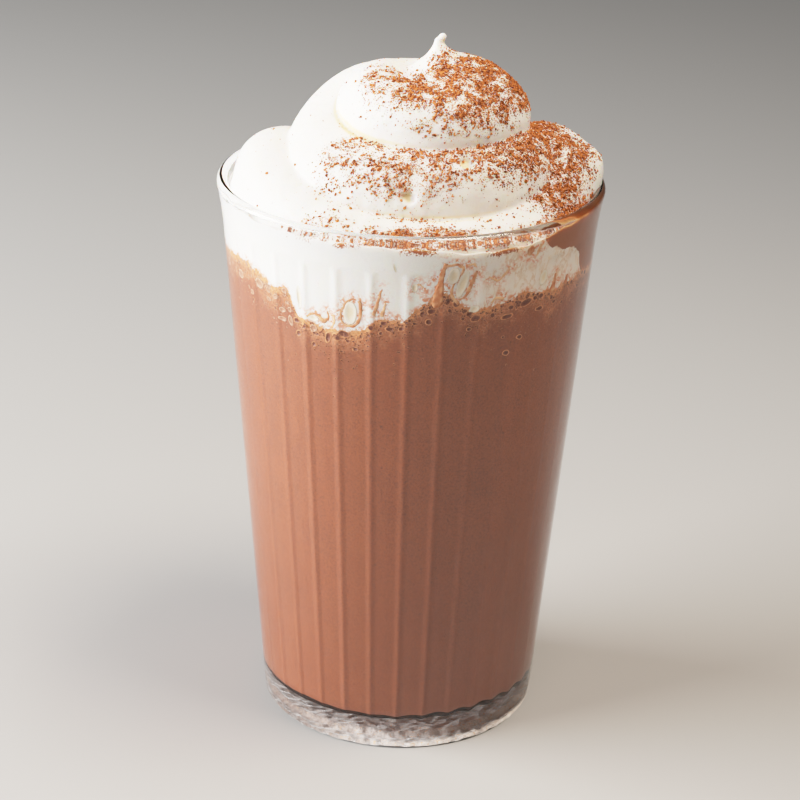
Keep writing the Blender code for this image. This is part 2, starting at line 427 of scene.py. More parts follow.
RIB_TREE = mesh_tree("press_ribs", rib_rule, ribs="Float", depth="Float", sharpness="Float",
                     top="Float", fade="Float", finish="Material")


def press(name, mesh, finish, slot, *nodes):
    """A finished piece with the ribs pressed into it."""
    ribbed = grow(name, mesh, RIB_TREE, ribs=float(RIBS), depth=RIB_DEPTH * MM,
                  sharpness=RIB_SHARPNESS, top=RIB_TOP * MM, fade=RIB_FADE * MM, finish=finish)
    return finish_piece(name, ribbed, slot, *nodes)


print("rib tree ready")

# %% [markdown]
# ## Shared effects of the finishes
# Drink, froth and cream share a few effects: a fine grain, the mottled brown of the shake, the
# ragged line where shake meets cream, and cocoa that dusts whatever lies under it. Each effect
# is a node group that gives a colour or a mask. All of them read Object coordinates, turned
# into millimetres, or a value that the mesh carries.

# %% Patterns for the finishes
FOAM_CELLS = 1.1  # foam cells to a millimetre


def millimetres(tree):
    return vectors("SCALE", node(tree, "ShaderNodeTexCoord", output="Object"), 1 / MM)


def carried(tree, name):
    """A value that the mesh carries, for a material."""
    return node(tree, "ShaderNodeAttribute", output="Fac", attribute_name=name)


def noise_at(place, size, detail=2.0, rough=0.5, shift=0.0):
    """Smooth noise whose blobs are about size millimetres across, centred on one half."""
    moved = vectors("ADD", place, (shift, shift, shift))
    inputs = {"Vector": moved, "Scale": 1.0 / size, "Detail": detail, "Roughness": rough}
    return node(tree_of(place), "ShaderNodeTexNoise", inputs)


def wander(place, amount, *settings):
    """Noise that swings round nought, by half the amount to each side."""
    return (noise_at(place, *settings) - 0.5) * amount


def stretched(place, upright):
    """The place, with its height shrunk, so that a pattern on it comes out longer upright."""
    inputs = {"Vector": place, "Scale": (1.0, 1.0, upright)}
    return node(tree_of(place), "ShaderNodeMapping", inputs)


def foam_walls(place, beside, inside, strength=1.0):
    """The walls between foam cells, from nought beside a wall to full strength inside it."""
    inputs = {"Vector": place, "Scale": FOAM_CELLS}
    away = node(tree_of(place), "ShaderNodeTexVoronoi", inputs, "Distance", feature="DISTANCE_TO_EDGE")
    return remap(away, beside, inside, 0.0, strength)


def bump(height, depth):
    """A bump of the given depth in millimetres."""
    inputs = {"Height": height, "Distance": depth * MM, "Strength": 1.0}
    return node(tree_of(height), "ShaderNodeBump", inputs)


print("pattern helpers ready")

# %% Node groups for the finishes
SHAKE_BRIM = (0.84, 0.320, 0.110, 1)
FOAM_LACE = (0.82, 0.44, 0.26, 1)


def shake_rule(tree, body, froth, froth_depth, mottle):
    """The brown of the shake, paler where it is froth."""
    place, rise = millimetres(tree), carried(tree, "rise")
    clouds = wander(place, 0.28, 9.0, 3.0, 0.55)
    streaks = wander(stretched(place, 0.16), 0.3, 2.4, 2.0, 0.5, 40.0)
    specks = wander(place, 1.1, 0.45, 1.0, 0.5, 80.0)
    flecks = remap(noise_at(place, 0.8, 1.0, 0.5, 130.0), 0.70, 0.78, 1.0, 0.62)
    gain = ((clouds + streaks + specks) * mottle + 1.0) * flecks
    foamy = remap(rise / (froth_depth * -1.0) + wander(place, 1.6, 3.0, 3.0), 1.1, -0.2)
    lace = foam_walls(place, 0.16, 0.02) * foamy * 0.38
    ragged_rise = rise + noise_at(place, 1.6, 3.0, 0.6, 55.0) * 3.0 - 1.2
    brim = remap(maths("ABSOLUTE", ragged_rise), 1.9, 0.3, 0.0, 0.75)
    colour = blend(brim, blend(foamy, body, froth), SHAKE_BRIM)
    return vectors("SCALE", blend(lace, colour, FOAM_LACE), gain)


def meeting_rule(tree, raggedness, softness):
    """Where cream takes over from shake: one above the ragged line, nought below it."""
    place = millimetres(tree)
    ragged = wander(place, 3.2, 2.6, 2.0, 0.5, 10.0) + wander(place, 1.4, 0.8, 2.0, 0.6, 20.0)
    height = carried(tree, "rise") + ragged * raggedness
    return remap(height, softness * -1.0, softness)


def dust_rule(tree, amount):
    """Cocoa as a fine powder between the grains, from the cocoa value that the mesh carries."""
    place = millimetres(tree)
    specks = noise_at(place, 0.42, 2.0, 0.65, 5.0)
    drifts = noise_at(place, 2.2, 2.0, 0.5, 25.0)
    edge = carried(tree, "cocoa") * amount * -0.34 + 0.68
    return remap(specks * 0.72 + drifts * 0.28 - edge, -0.02, 0.06)


SHAKE_COLOUR = group("shake_colour", "ShaderNodeTree", shake_rule, ("Colour", "Color"),
                     body="Color", froth="Color", froth_depth="Float", mottle="Float")
MEETING_LINE = group("meeting_line", "ShaderNodeTree", meeting_rule, ("Cream", "Float"),
                     raggedness="Float", softness="Float")
COCOA_DUST = group("cocoa_dust", "ShaderNodeTree", dust_rule, ("Mask", "Float"), amount="Float")


def material(name, looks):
    """A material whose shader takes the inputs that looks hands back."""
    made = bpy.data.materials.new(name)
    made.use_nodes = True
    tree = made.node_tree
    connect(tree.nodes["Principled BSDF"], looks(tree, millimetres(tree)))
    print("finish:", name)
    return made


print("node groups ready")

# %% [markdown]
# ## Clear glass
# Pressed glass is clear, but its skin waves a little and carries faint smears. The body of the
# material is a plain transmitting shader. Lamps and scattered light see it as open air, through
# Light Path, so they reach the drink inside without slow caustics.

# %% Glass
def glass_looks(tree, place):
    return {"Base Color": (0.985, 0.99, 0.99, 1), "Transmission Weight": 1.0, "IOR": 1.5,
            "Roughness": remap(noise_at(place, 14.0, 3.0, 0.6), 0.45, 0.75, 0.0, 0.035),
            "Normal": bump(noise_at(place, 6.0), 0.09)}


def let_light_through(finish):
    """Lamps and scattered light pass the material as if it were air."""
    tree = finish.node_tree
    clear = node(tree, "ShaderNodeBsdfTransparent")
    shader = Field(tree.nodes["Principled BSDF"].outputs[0])
    for ray in ("Is Shadow Ray", "Is Diffuse Ray"):
        inputs = {0: node(tree, "ShaderNodeLightPath", output=ray), 1: shader, 2: clear}
        shader = node(tree, "ShaderNodeMixShader", inputs)
    connect(tree.nodes["Material Output"], {"Surface": shader})


GLASS = material("clear_glass", glass_looks)
let_light_through(GLASS)

# %% [markdown]
# ## Milkshake
# The drink is milk, ice cream and cocoa whipped together: a dense, pinkish brown that lets
# light in only a little. It has fine specks and slow clouds, and it is paler and more orange
# where it is froth. The specks come from noise, and the froth from the height above or below
# the line where the cream starts, which the mesh carries as a value.

# %% Milkshake
SHAKE_BODY = (0.275, 0.067, 0.0165, 1)
# painted shade for the lower part of the drink
SHAKE_PAINTED_SHADE = (0.205, 0.044, 0.008, 1)
SHAKE_FROTH = (0.49, 0.150, 0.047, 1)
CREAM_WHITE = (0.95, 0.89, 0.825, 1)
UNEVEN_GLOSS = (0.3, 0.7)  # the part of the noise over which a finish goes from glossy to dull


def uneven(place, size, glossy, dull):
    """A roughness that drifts between two values."""
    return remap(noise_at(place, size), *UNEVEN_GLOSS, glossy, dull)


def shake_below(tree, above):
    """Shake up to the ragged line, and the given colour above it."""
    shake = use(tree, SHAKE_COLOUR, body=SHAKE_BODY, froth=SHAKE_FROTH, froth_depth=7.0, mottle=0.9)
    return blend(use(tree, MEETING_LINE, raggedness=1.0, softness=0.1), shake, above)


def shake_looks(tree, place):
    # painted shade: the shake is darkened towards the floor
    towards_floor = remap(parts(place)[2], 95.0, 20.0, 0.0, 0.5)
    return {"Base Color": blend(towards_floor, shake_below(tree, CREAM_WHITE), SHAKE_PAINTED_SHADE),
            "Subsurface Weight": 0.3, "Subsurface Radius": (1.0, 0.45, 0.3), "Subsurface Scale": 0.0006,
            "Sheen Weight": 0.55, "Sheen Roughness": 0.4, "Specular IOR Level": 0.5,
            "Roughness": uneven(place, 2.0, 0.42, 0.55), "Normal": bump(noise_at(place, 0.5), 0.03)}


MILKSHAKE = material("chocolate_milkshake", shake_looks)

# %% [markdown]
# ## Whipped cream
# Cream is white fat foam. Light goes into it and comes out warmer, so the folds glow a soft
# yellow rather than turn grey; this glow is painted into the colour of folds and burst bubbles.
# Inside the glass the shake has run up between cream and wall, and left tan veins and a brown
# smear. Above the rim cocoa lies on it.

# %% Whipped cream
PAINTED_CREASE_GLOW = (1.0, 0.76, 0.42, 1)
CREAM_GLOW = (1.0, 0.75, 0.5)  # how far red, green and blue light go into the cream
DUSTED_CREAM = (0.58, 0.22, 0.09, 1)


def cream_looks(tree, place):
    # painted glow: deep creases turn a warm yellow, as if lit through the cream
    colour = blend(remap(carried(tree, "crease"), 0.3, 0.8, 0.0, 0.9), CREAM_WHITE, PAINTED_CREASE_GLOW)
    grain = noise_at(place, 1.1) + noise_at(place, 0.35, 2.0, 0.6, 9.0) * 0.35
    return {"Base Color": blend(use(tree, COCOA_DUST, amount=0.5), colour, DUSTED_CREAM),
            "Subsurface Weight": 0.7, "Subsurface Radius": CREAM_GLOW, "Subsurface Scale": 0.0022,
            "Specular IOR Level": 0.4, "Roughness": uneven(place, 1.5, 0.38, 0.6),
            "Normal": bump(grain, 0.08)}


CREAM = material("whipped_cream", cream_looks)

# %% [markdown]
# ### Cream that the shake has stained
# At the wall the finish is built up in layers, as the stains are. A thin tan wash comes first,
# then blots and veins, then the smear under the rim. Foam lies along the meeting line and
# beside the trails. Fallen cocoa comes last, and the shake takes over below the line.

# %% Cream at the wall
TAN_WASH = (0.97, 0.70, 0.50, 1)
TAN_BLOTS = (0.82, 0.53, 0.32, 1)
TAN_VEINS = (0.70, 0.40, 0.21, 1)
SMEARED_SHAKE = (0.33, 0.10, 0.030, 1)
FOAM = (0.76, 0.232, 0.082, 1)
WET_COCOA = (0.34, 0.10, 0.030, 1)


def stained_cream(tree, place):
    """The tan wash with its blots, veins and smear, where the mesh says that there are any."""
    tan, upright = carried(tree, "tan"), stretched(place, 0.55)
    ridges = maths("ABSOLUTE", noise_at(upright, 2.6, 4.0, 0.6) * 2.0 - 1.0)
    patchy = remap(noise_at(place, 5.0, 2.0, 0.5, 33.0), 0.42, 0.62)
    veins = remap(ridges, 0.10, 0.0) * (tan * patchy)
    blots = remap(noise_at(upright, 1.5, 3.0, 0.6, 71.0), 0.52, 0.68) * tan * 0.55
    smear = remap(carried(tree, "smear") + wander(upright, 1.6, 3.2, 4.0, 0.6, 60.0), 0.44, 0.56)
    colour = blend(tan * 0.36, CREAM_WHITE, TAN_WASH)
    colour = blend(blots, colour, TAN_BLOTS)
    colour = blend(veins * 0.6, colour, TAN_VEINS)
    return blend(smear, colour, SMEARED_SHAKE)


def foam_mask(tree, place):
    """Lacy, spattered foam along the meeting line and beside the trails."""
    fringe = remap(use(tree, MEETING_LINE, raggedness=1.0, softness=2.4), 0.98, 0.5)
    near = carried(tree, "beside_trail") * remap(noise_at(place, 1.9), 0.36, 0.6)
    shift = node(tree, "ShaderNodeTexNoise", {"Vector": place, "Scale": 0.9, "Detail": 2.0}, "Color")
    bent = vectors("ADD", place, vectors("SCALE", shift, 2.4))
    patchy = remap(noise_at(place, 1.3, 2.0, 0.5, 15.0), 0.42, 0.58)
    lace = foam_walls(bent, 0.20, 0.04, 0.75) * patchy
    spatter = remap(noise_at(place, 0.75, 2.0, 0.6, 91.0), 0.47, 0.58, 0.0, 0.95)
    return maths("MAXIMUM", fringe, near) * maths("MAXIMUM", lace, spatter)


def wall_cream_looks(tree, place):
    colour = blend(foam_mask(tree, place), stained_cream(tree, place), FOAM)
    colour = blend(use(tree, COCOA_DUST, amount=1.0), colour, WET_COCOA)
    return {"Base Color": shake_below(tree, colour),
            "Subsurface Weight": 0.5, "Subsurface Radius": CREAM_GLOW, "Subsurface Scale": 0.003,
            "Specular IOR Level": 0.25, "Roughness": uneven(place, 2.0, 0.42, 0.55),
            "Normal": bump(noise_at(place, 0.9), 0.04)}


WALL_CREAM = material("whipped_cream_at_wall", wall_cream_looks)

# %% [markdown]
# ## Cocoa
# Cocoa powder clumps into soft grains, from dust to nearly a millimetre. They differ in tone, so
# each grain's colour comes from noise that is about as wide as a grain.

# %% Cocoa
DARK_COCOA = (0.16, 0.036, 0.009, 1)
LIGHT_COCOA = (0.73, 0.250, 0.078, 1)


def cocoa_looks(tree, place):
    tone = remap(noise_at(place, 0.6, 2.0, 0.6), 0.36, 0.64)
    return {"Base Color": blend(tone, DARK_COCOA, LIGHT_COCOA), "Specular IOR Level": 0.15,
            "Roughness": remap(tone, 0.0, 1.0, 0.85, 0.97), "Normal": bump(noise_at(place, 0.12), 0.03)}


COCOA = material("cocoa_powder", cocoa_looks)

# %% [markdown]
# ## The tumbler
# The wall is drawn as a half section: under the base, up the outside, over the rounded rim and
# down the inside to the floor. Turned round the axis it is one closed skin. Rows are close
# together where the arches of the ribs need them, and far apart on the straight wall.

# %% The half section
def soft_step(value, low, high):
    t = np.clip((value - low) / (high - low), 0, 1)
    return t * t * (3 - 2 * t)


def floor_corner(reach):
    """The corner between floor and wall, from the floor up, pushed into the glass by reach."""
    height = FLOOR + FLOOR_ROUND
    return arc((wall_inside(height) - FLOOR_ROUND, height), FLOOR_ROUND + reach, -90, 0, 9)


def flat_rows(radii, height):
    """Rows at one height."""
    return np.column_stack([radii, np.full(len(radii), height)])


def wall_rows(wall, heights):
    """Rows up or down one side of the wall."""
    return np.column_stack([wall(heights), heights])


def tumbler_section():
    """Rows of radius and height, and how far the ribs reach there."""
    lip = np.linspace(0, 1, 7)
    punt = np.column_stack([PUNT_RADIUS + (FOOT_INNER - PUNT_RADIUS) * lip,
                            PUNT_RISE * (0.5 + 0.5 * np.cos(pi * lip))])
    under = np.concatenate([np.linspace(3.0, 15.0, 4), np.arange(16.0, PUNT_RADIUS - 0.2, 0.5)])
    foot = arc((wall_outside(FOOT_ROUND) - FOOT_ROUND, FOOT_ROUND), FOOT_ROUND, -90, 0, 9)
    ring = np.arange(FOOT_INNER + 0.5, foot[0, 0] - 0.3, 0.5)
    rise = np.concatenate([np.arange(5.0, 120.0, 3.5), np.arange(120.0, WALL_TOP, 1.2)])
    rim = arc((RIM_RADIUS - RIM_ROUND, WALL_TOP), RIM_ROUND, 0, 180, 15)
    arch_foot = RIB_TOP - RIB_FADE
    fall = np.concatenate([np.arange(WALL_TOP - 1.0, RIB_TOP + 0.6, -1.2),
                           np.arange(RIB_TOP + 0.4, arch_foot - 0.6, -0.2),
                           np.arange(arch_foot - 2.0, FLOOR + FLOOR_ROUND + 1.0, -3.5)])
    corner = floor_corner(0.0)[::-1]
    middle = flat_rows(np.linspace(corner[-1, 0] - 2.0, 3.0, 8), FLOOR)
    inner = np.vstack([wall_rows(wall_inside, fall), corner, middle])
    rows = np.vstack([flat_rows(under, PUNT_RISE), punt, flat_rows(ring, 0.0), foot,
                      wall_rows(wall_outside, rise), rim, inner])
    ribbed = np.zeros(len(rows))
    ribbed[-len(inner):] = 1.0
    ribbed[-len(middle):] = np.clip(1.0 - np.arange(1, len(middle) + 1) / 4, 0, 1)
    return rows, ribbed


section, section_ribbed = tumbler_section()
print(len(section), "rows in the half section")

# %% [markdown]
# ### Dimples and scallops
# The glass stands on a ring of small bumps, with dimples between them, so only their tips touch
# the table. Inside, the ribs end in the rounded corner of the floor, and between them the floor
# curls up a little, so the drink ends in a scalloped line.

# %% Dimples and scallops
STIPPLE_SIZE = 2.2
STIPPLE_DEPTH = 0.35
STIPPLE_FROM, STIPPLE_FULL = 15.0, 19.0  # radii where the dimples start and where they are full
SCALLOP = 0.9
SCALLOP_REACH = 32.3  # only the inner skin lies closer to the axis than this


def flat_place(r, angle, size):
    """Where a pattern of the given size is read for a point at this radius and angle."""
    return Vector((r * np.cos(angle), r * np.sin(angle), 0.0)) / size


def stipple(radii, heights):
    """How far the underside is dimpled upwards: a ring of small bumps that the glass stands on."""
    lift = np.zeros_like(radii)
    below = PUNT_RISE + 0.1
    for row, column in np.argwhere((heights < below) & (radii > STIPPLE_FROM)):
        place = flat_place(radii[row, column], ANGLES[column], STIPPLE_SIZE)
        lift[row, column] = STIPPLE_DEPTH * min(1.1 * noise.voronoi(place)[0][0], 1.0)
    under = soft_step(below - heights, 0.0, 0.1) * (heights >= 0)
    return lift * soft_step(radii, STIPPLE_FROM, STIPPLE_FULL) * under


def scallops(radii, heights):
    """Between the ribs the edge of the floor curls up, so the drink ends in a scalloped line."""
    between = 0.5 - 0.5 * np.cos(RIBS * ANGLES)
    inside = (radii < SCALLOP_REACH) & (heights > FLOOR - 0.3)
    near_wall = soft_step(radii, 22.0, 29.0) * (1 - soft_step(heights, FLOOR + 1.0, FLOOR + 6.0))
    at_right = np.clip(np.cos(ANGLES + 0.35), 0.1, 1) ** 1.5
    return SCALLOP * at_right * between * near_wall * inside


def repeat_round(values):
    """The same value at every angle."""
    return np.repeat(values[:, None], SEGMENTS, axis=1)


def make_tumbler():
    radii, heights = repeat_round(section[:, 0]), repeat_round(section[:, 1])
    heights += stipple(radii, heights) + scallops(radii, heights)
    mesh = skin("glass_skin", radii, heights, (PUNT_RISE, FLOOR), ribbed=section_ribbed[:, None])
    press("tumbler", mesh, GLASS, "clear_glass", "glass")


make_tumbler()

# %% [markdown]
# ### The frosted underside
# The underside of a pressed base is rough: a ring of pimples, ridges and chill marks left by the
# mould, so it looks like frost. It is modelled as a thin rough ring just inside the clear base,
# because a clear rough skin alone would only mirror the brown of the drink above it. Its glitter
# is painted: the ring is painted darker and browner on the left and lighter on the right, where
# light gets in from the side and gathers, with painted orange glints.

# %% Frosted ring
FROST_INNER, FROST_OUTER = 9.0, 32.1
FROST_RELIEF = 1.1
FROST_SIZE = 2.6
FROST_SLOPE = 1.5  # how far in from its two edges the relief is full


def frost_looks(tree, place):
    x, y, _ = parts(place)
    flat = combine(x, y, 0.0)
    patches = noise_at(flat, 3.6, 3.0, 0.6)
    cracks = maths("ABSOLUTE", noise_at(flat, 3.4, 3.0, 0.6, 17.0) * 2.0 - 1.0)
    # painted light and shade: darker and browner on the left, lighter on the right, where light gathers
    # through the base
    painted_light_rightwards = remap(x, -26.0, 6.0)
    light = remap(patches, 0.30, 0.48, 0.35, 1.0) * remap(cracks, 0.0, 0.06, 0.2, 1.0)
    light = light * (painted_light_rightwards * 0.85 + 0.15)
    dark = blend(painted_light_rightwards, (0.15, 0.085, 0.06, 1), (0.80, 0.66, 0.58, 1))
    # painted glints: small orange sparks, brightest where the painted light is
    painted_glints = remap(noise_at(flat, 0.8, 1.0, 0.5, 51.0), 0.60, 0.68)
    colour = blend(light, dark, (0.94, 0.88, 0.84, 1))
    return {"Base Color": blend(painted_glints * light, colour, (0.95, 0.62, 0.36, 1)),
            "Roughness": remap(patches, 0.4, 0.6, 0.35, 0.15), "Specular IOR Level": 0.9,
            "Sheen Weight": 1.0, "Sheen Roughness": 0.35,
            "Normal": bump(noise_at(place, 0.8, 3.0), 0.25)}


def make_frosted_ring():
    top = np.arange(FROST_OUTER, FROST_INNER, -0.4)
    reach = np.concatenate([[FROST_INNER, PUNT_RADIUS, FOOT_INNER, FROST_OUTER], top])
    floor = PUNT_RISE * (1 - soft_step(reach, PUNT_RADIUS, FOOT_INNER)) + STIPPLE_DEPTH + 0.1
    side = np.clip(np.minimum(reach - FROST_INNER, FROST_OUTER - reach) / FROST_SLOPE, 0, 1)
    side[:-len(top)] = 0.0
    radii, heights = repeat_round(reach), repeat_round(floor)
    for row, column in np.argwhere(repeat_round(side) > 0):
        place = flat_place(reach[row], ANGLES[column], FROST_SIZE)
        relief = 0.65 * noise.voronoi(place)[0][0] + 0.7 * abs(noise.noise(place * 0.8)) + 0.2
        heights[row, column] += FROST_RELIEF * relief * side[row]
    mesh = skin("frosted_base_ring", radii, heights)
    mesh.materials.append(material("frosted_glass", frost_looks))
    finish_piece("frosted_base_ring", mesh, "clear_glass")


make_frosted_ring()

# %% [markdown]
# ## The milkshake
# The drink fills the flutes and reaches a hair into the wall, so that no thin layer of air
# shows between them. Its level is uneven, because the cream sank into it by different amounts
# round the glass. The level is a smooth curve through a few heights, and every point carries
# its height above or below that curve.

# %% The milkshake
# Compass degrees and the height of the shake at the wall, then the same for the cream.
SHAKE_EDGE = ((-90, 118.5), (-72, 118.9), (-56, 119.2), (-47, 116.4), (-39.5, 116.0),
              (-36.5, 111.4), (-31, 110.8), (-25, 109.7), (-20, 109.6), (-13, 110.9), (-10, 113.2),
              (-6, 114.0), (0, 114.3), (2.6, 116.2), (6.7, 118.7), (8.6, 119.8), (11, 120.2),
              (15.4, 117.8), (18, 116.5), (28, 116.1), (33, 117.3), (38, 118.2), (44, 117.4),
              (49, 116.6), (53.2, 116.6), (57, 117.6), (60.6, 116.9), (64, 117.6), (77, 116.6),
              (105, 118.0), (140, 112.5), (180, 117.0), (225, 113.0))
CREAM_EDGE = ((-90, 131.8), (-45, 131.3), (0, 131.0), (38, 130.0), (52, 131.6), (62, 132.6),
              (90, 132.7), (120, 131.9), (140, 131.2), (180, 130.6), (225, 131.5))
SHAKE_MIDDLE = 112.0
OVERLAP = 2.0  # how far each of the two reaches past the line where they meet

shake_line = curve(SHAKE_EDGE, COMPASS, 360.0)[:, 0]
cream_line = curve(CREAM_EDGE, COMPASS, 360.0)[:, 0]
for waves, depth, shift in ((7, 0.22, 1.0), (16, 0.18, 0.0), (37, 0.15, 2.0)):
    cream_line += depth * np.sin(waves * ANGLES + shift)


def make_milkshake():
    corner = floor_corner(INTO_WALL)
    share = np.linspace(0, 1, 110)[1:, None]
    start = FLOOR + FLOOR_ROUND
    wall_z = start + share * (shake_line + OVERLAP - start)
    wall_r = wall_inside(wall_z) + INTO_WALL
    inward = np.array([0.97, 0.9, 0.75, 0.5, 0.25])[:, None]
    top_z = SHAKE_MIDDLE + (shake_line + OVERLAP - SHAKE_MIDDLE) * inward**3
    radii = np.vstack([repeat_round(corner[:, 0]), wall_r, inward * wall_r[-1]])
    heights = np.vstack([repeat_round(corner[:, 1]), wall_z, top_z])
    heights = heights + scallops(radii, heights)
    ribbed = np.ones_like(radii)
    ribbed[-len(inward):] = np.array([0.6, 0.2, 0, 0, 0])[:, None]
    mesh = skin("shake_skin", radii, heights, (FLOOR - INTO_WALL, SHAKE_MIDDLE), ribbed=ribbed,
                rise=heights - shake_line)
    press("milkshake_in_glass", mesh, MILKSHAKE, "chocolate_milkshake", "milkshake")


make_milkshake()

# %% [markdown]
# ### A painted shade line
# Where the floor of the glass curves into the wall, little light reaches the drink, and a thin,
# nearly black line of shade shows there. It is painted shade: a narrow dark hoop that follows the
# corner, a hair outside the drink, and its upper edge wanders a little.

# %% Painted shade line
SHADE_LINE_FROM, SHADE_LINE_TO = -84.0, -29.0  # degrees round the corner; straight down is -90
SHADE_LINE_THICK = 0.3


# painted shade: a nearly black line where the floor meets the wall
def painted_shade_line_looks(tree, place):
    lumps = noise_at(place, 1.4, 3.0)
    colour = blend(remap(lumps, 0.4, 0.62), (0.004, 0.002, 0.001, 1), (0.035, 0.010, 0.004, 1))
    return {"Base Color": colour, "Roughness": remap(lumps, 0.3, 0.7, 0.7, 0.9),
            "Specular IOR Level": 0.05}


def make_painted_shade_line():
    ripple = 3.0 * np.sin(5 * ANGLES + 0.6) + 2.0 * np.sin(13 * ANGLES) + 1.5 * np.sin(29 * ANGLES)
    share = np.linspace(0, 1, 6)[:, None]
    angle = np.radians(SHADE_LINE_FROM + share * (SHADE_LINE_TO + ripple - SHADE_LINE_FROM))
    angle = np.vstack([angle, angle[::-1]])
    middle_z = FLOOR + FLOOR_ROUND
    thick = np.repeat([INTO_WALL + 0.05, INTO_WALL - SHADE_LINE_THICK], len(share))[:, None]
    radii = wall_inside(middle_z) - FLOOR_ROUND + (FLOOR_ROUND + thick) * np.cos(angle)
    heights = middle_z + (FLOOR_ROUND + thick) * np.sin(angle)
    heights = heights + scallops(radii, heights)
    mesh = skin("shade_line_skin", radii, heights, ribbed=1.0)
    press("settled_cocoa", mesh, material("settled_cocoa", painted_shade_line_looks), "chocolate_milkshake")


make_painted_shade_line()

# %% [markdown]
# ## Cream against the glass
# Under the rim the cream is a thick collar pressed to the wall. It starts where the shake ends
# and its lower edge tucks in behind the shake. The mesh carries how tan the cream is and where
# the shake has smeared over it, as soft values that the finish turns into ragged edges.

# %% Stains on the cream
SMEAR_EDGE = ((0, 137.0), (40, 136.0), (44.5, 129.5), (49, 127.4), (54, 126.0), (60, 125.2),
              (64, 122.5), (67, 118.0), (72, 113.0), (92, 113.0), (99, 120.0), (108, 128.0),
              (118, 133.0), (140, 137.0), (250, 137.0))


def from_front(compass):
    """Compass degrees from -180 to 180, nought at the front."""
    return (compass + 180.0) % 360.0 - 180.0


def hump(value, middle, width):
    """One at the middle, falling to nought at width on both sides."""
    return soft_step(1 - np.abs(value - middle) / width, 0, 1)


def wall_stains(compass, height):
    """How tan the cream at the wall is, and how much shake is smeared over it."""
    side = from_front(compass)
    tan = soft_step(side, 8, 34) * (1 - soft_step(side, 120, 170))
    tan = tan + 0.25 * hump(side, -28, 14) * hump(height, 112, 4)
    above_edge = height - curve(SMEAR_EDGE, compass, 360.0)[..., 0]
    return np.clip(tan, 0, 1), soft_step(above_edge, -1.6, 1.6)


print("the shake's smear is", np.ptp(np.array(SMEAR_EDGE)[:, 1]), "mm deep")

# %% The paths of the trails
TRAILS = (  # compass degrees, height, width; then how tan the trail is
    (((8.8, 117.0, 1.6), (8.9, 118.4, 2.5), (9.2, 120.4, 2.1), (9.6, 122.6, 1.5),
      (10.0, 125.0, 1.1), (10.9, 127.6, 0.7)), 0.0),
    (((10.8, 127.0, 0.5), (12.6, 127.0, 0.6), (14.6, 127.1, 0.7), (16.4, 126.0, 0.6),
      (15.4, 124.2, 0.4), (14.0, 122.6, 0.5), (13.2, 120.6, 0.7), (13.9, 118.8, 0.8),
      (15.6, 117.6, 0.9)), 0.25),
    (((20.6, 125.4, 0.5), (19.8, 123.4, 0.9), (18.9, 121.6, 1.0), (18.3, 120.2, 0.7),
      (17.0, 119.0, 0.5), (15.4, 118.6, 0.4)), 0.2),
    (((17.8, 126.7, 0.4), (19.2, 127.0, 0.5), (20.4, 126.3, 0.3)), 0.7),
    (((-10.4, 114.6, 0.9), (-9.4, 116.8, 0.7), (-8.8, 118.8, 0.6), (-7.8, 121.0, 0.3)), 0.2),
    (((-8.0, 114.4, 0.8), (-7.2, 116.4, 0.6), (-7.0, 118.0, 0.3)), 0.45),
    (((-15.0, 117.6, 0.5), (-14.4, 116.0, 0.8), (-14.6, 114.0, 0.6), (-15.6, 112.4, 0.9),
      (-17.4, 111.3, 0.6), (-19.6, 111.4, 0.5), (-20.9, 113.0, 0.5), (-20.2, 115.6, 0.4),
      (-17.8, 117.7, 0.5), (-15.8, 117.8, 0.4)), 0.15),
    (((-33.0, 111.6, 0.5), (-31.0, 112.6, 0.5), (-28.6, 112.5, 0.6), (-26.8, 111.6, 1.2),
      (-25.0, 112.6, 0.5), (-25.4, 114.0, 0.3)), 0.1),
    (((-23.6, 113.8, 0.3), (-23.0, 112.0, 0.5), (-24.0, 110.4, 0.5)), 0.3),
    (((50.4, 116.0, 2.4), (51.0, 118.2, 1.3), (51.5, 120.6, 0.5)), 0.0),
    (((57.4, 117.0, 2.0), (57.8, 119.0, 0.7)), 0.0),
    (((39.4, 129.2, 1.3), (38.6, 128.2, 1.9), (38.2, 127.2, 1.0)), 0.1),
    (((42.6, 129.4, 0.8), (41.6, 127.8, 0.9), (40.8, 126.0, 0.4)), 0.5),
    (((31.6, 125.4, 0.4), (30.2, 123.6, 0.6), (28.0, 122.3, 0.5), (24.8, 123.4, 0.3)), 0.7),
    (((30.6, 117.6, 0.5), (28.4, 117.9, 0.7), (26.2, 117.2, 0.3)), 0.6),
    (((1.0, 120.6, 0.3), (2.8, 122.4, 0.5), (4.6, 121.8, 0.3)), 0.5))


def trail_steps(rows):
    """A trail as many small steps of compass degrees, height and width."""
    rows = np.array([(k, *row) for k, row in enumerate(rows)], float)
    return curve(rows, np.linspace(0, len(rows) - 1, 8 * len(rows)))


def beside_trails(compass, height):
    """One on a trail, falling to nought a little way beside it."""
    away = np.full(compass.shape, 99.0)
    for rows, _ in TRAILS:
        for degrees, z, width in trail_steps(rows):
            side = np.radians(from_front(compass - degrees)) * wall_inside(z)
            away = np.minimum(away, np.hypot(side, height - z) - width)
    return 1 - soft_step(away, 0.0, 2.4)


print(len(TRAILS), "trails at the wall")

# %% Cocoa that fell in beside the glass
# Compass degrees of the middle, half width and density of the cocoa that fell in beside the glass.
FALLEN_COCOA = ((-34, 10, 0.45), (-19, 7, 0.75), (3, 9, 1.0), (30, 11, 0.85))


def fallen_cocoa(compass, depth):
    """Cocoa between cream and glass: most at the top edge, gone two millimetres below it."""
    amount = np.full(compass.shape, 0.12)
    for middle, wide, dense in FALLEN_COCOA:
        amount = np.maximum(amount, dense * hump(from_front(compass), middle, wide))
    return amount * (1 - soft_step(depth, 0.5, 2.4))


print(len(FALLEN_COCOA), "drifts of cocoa at the wall")

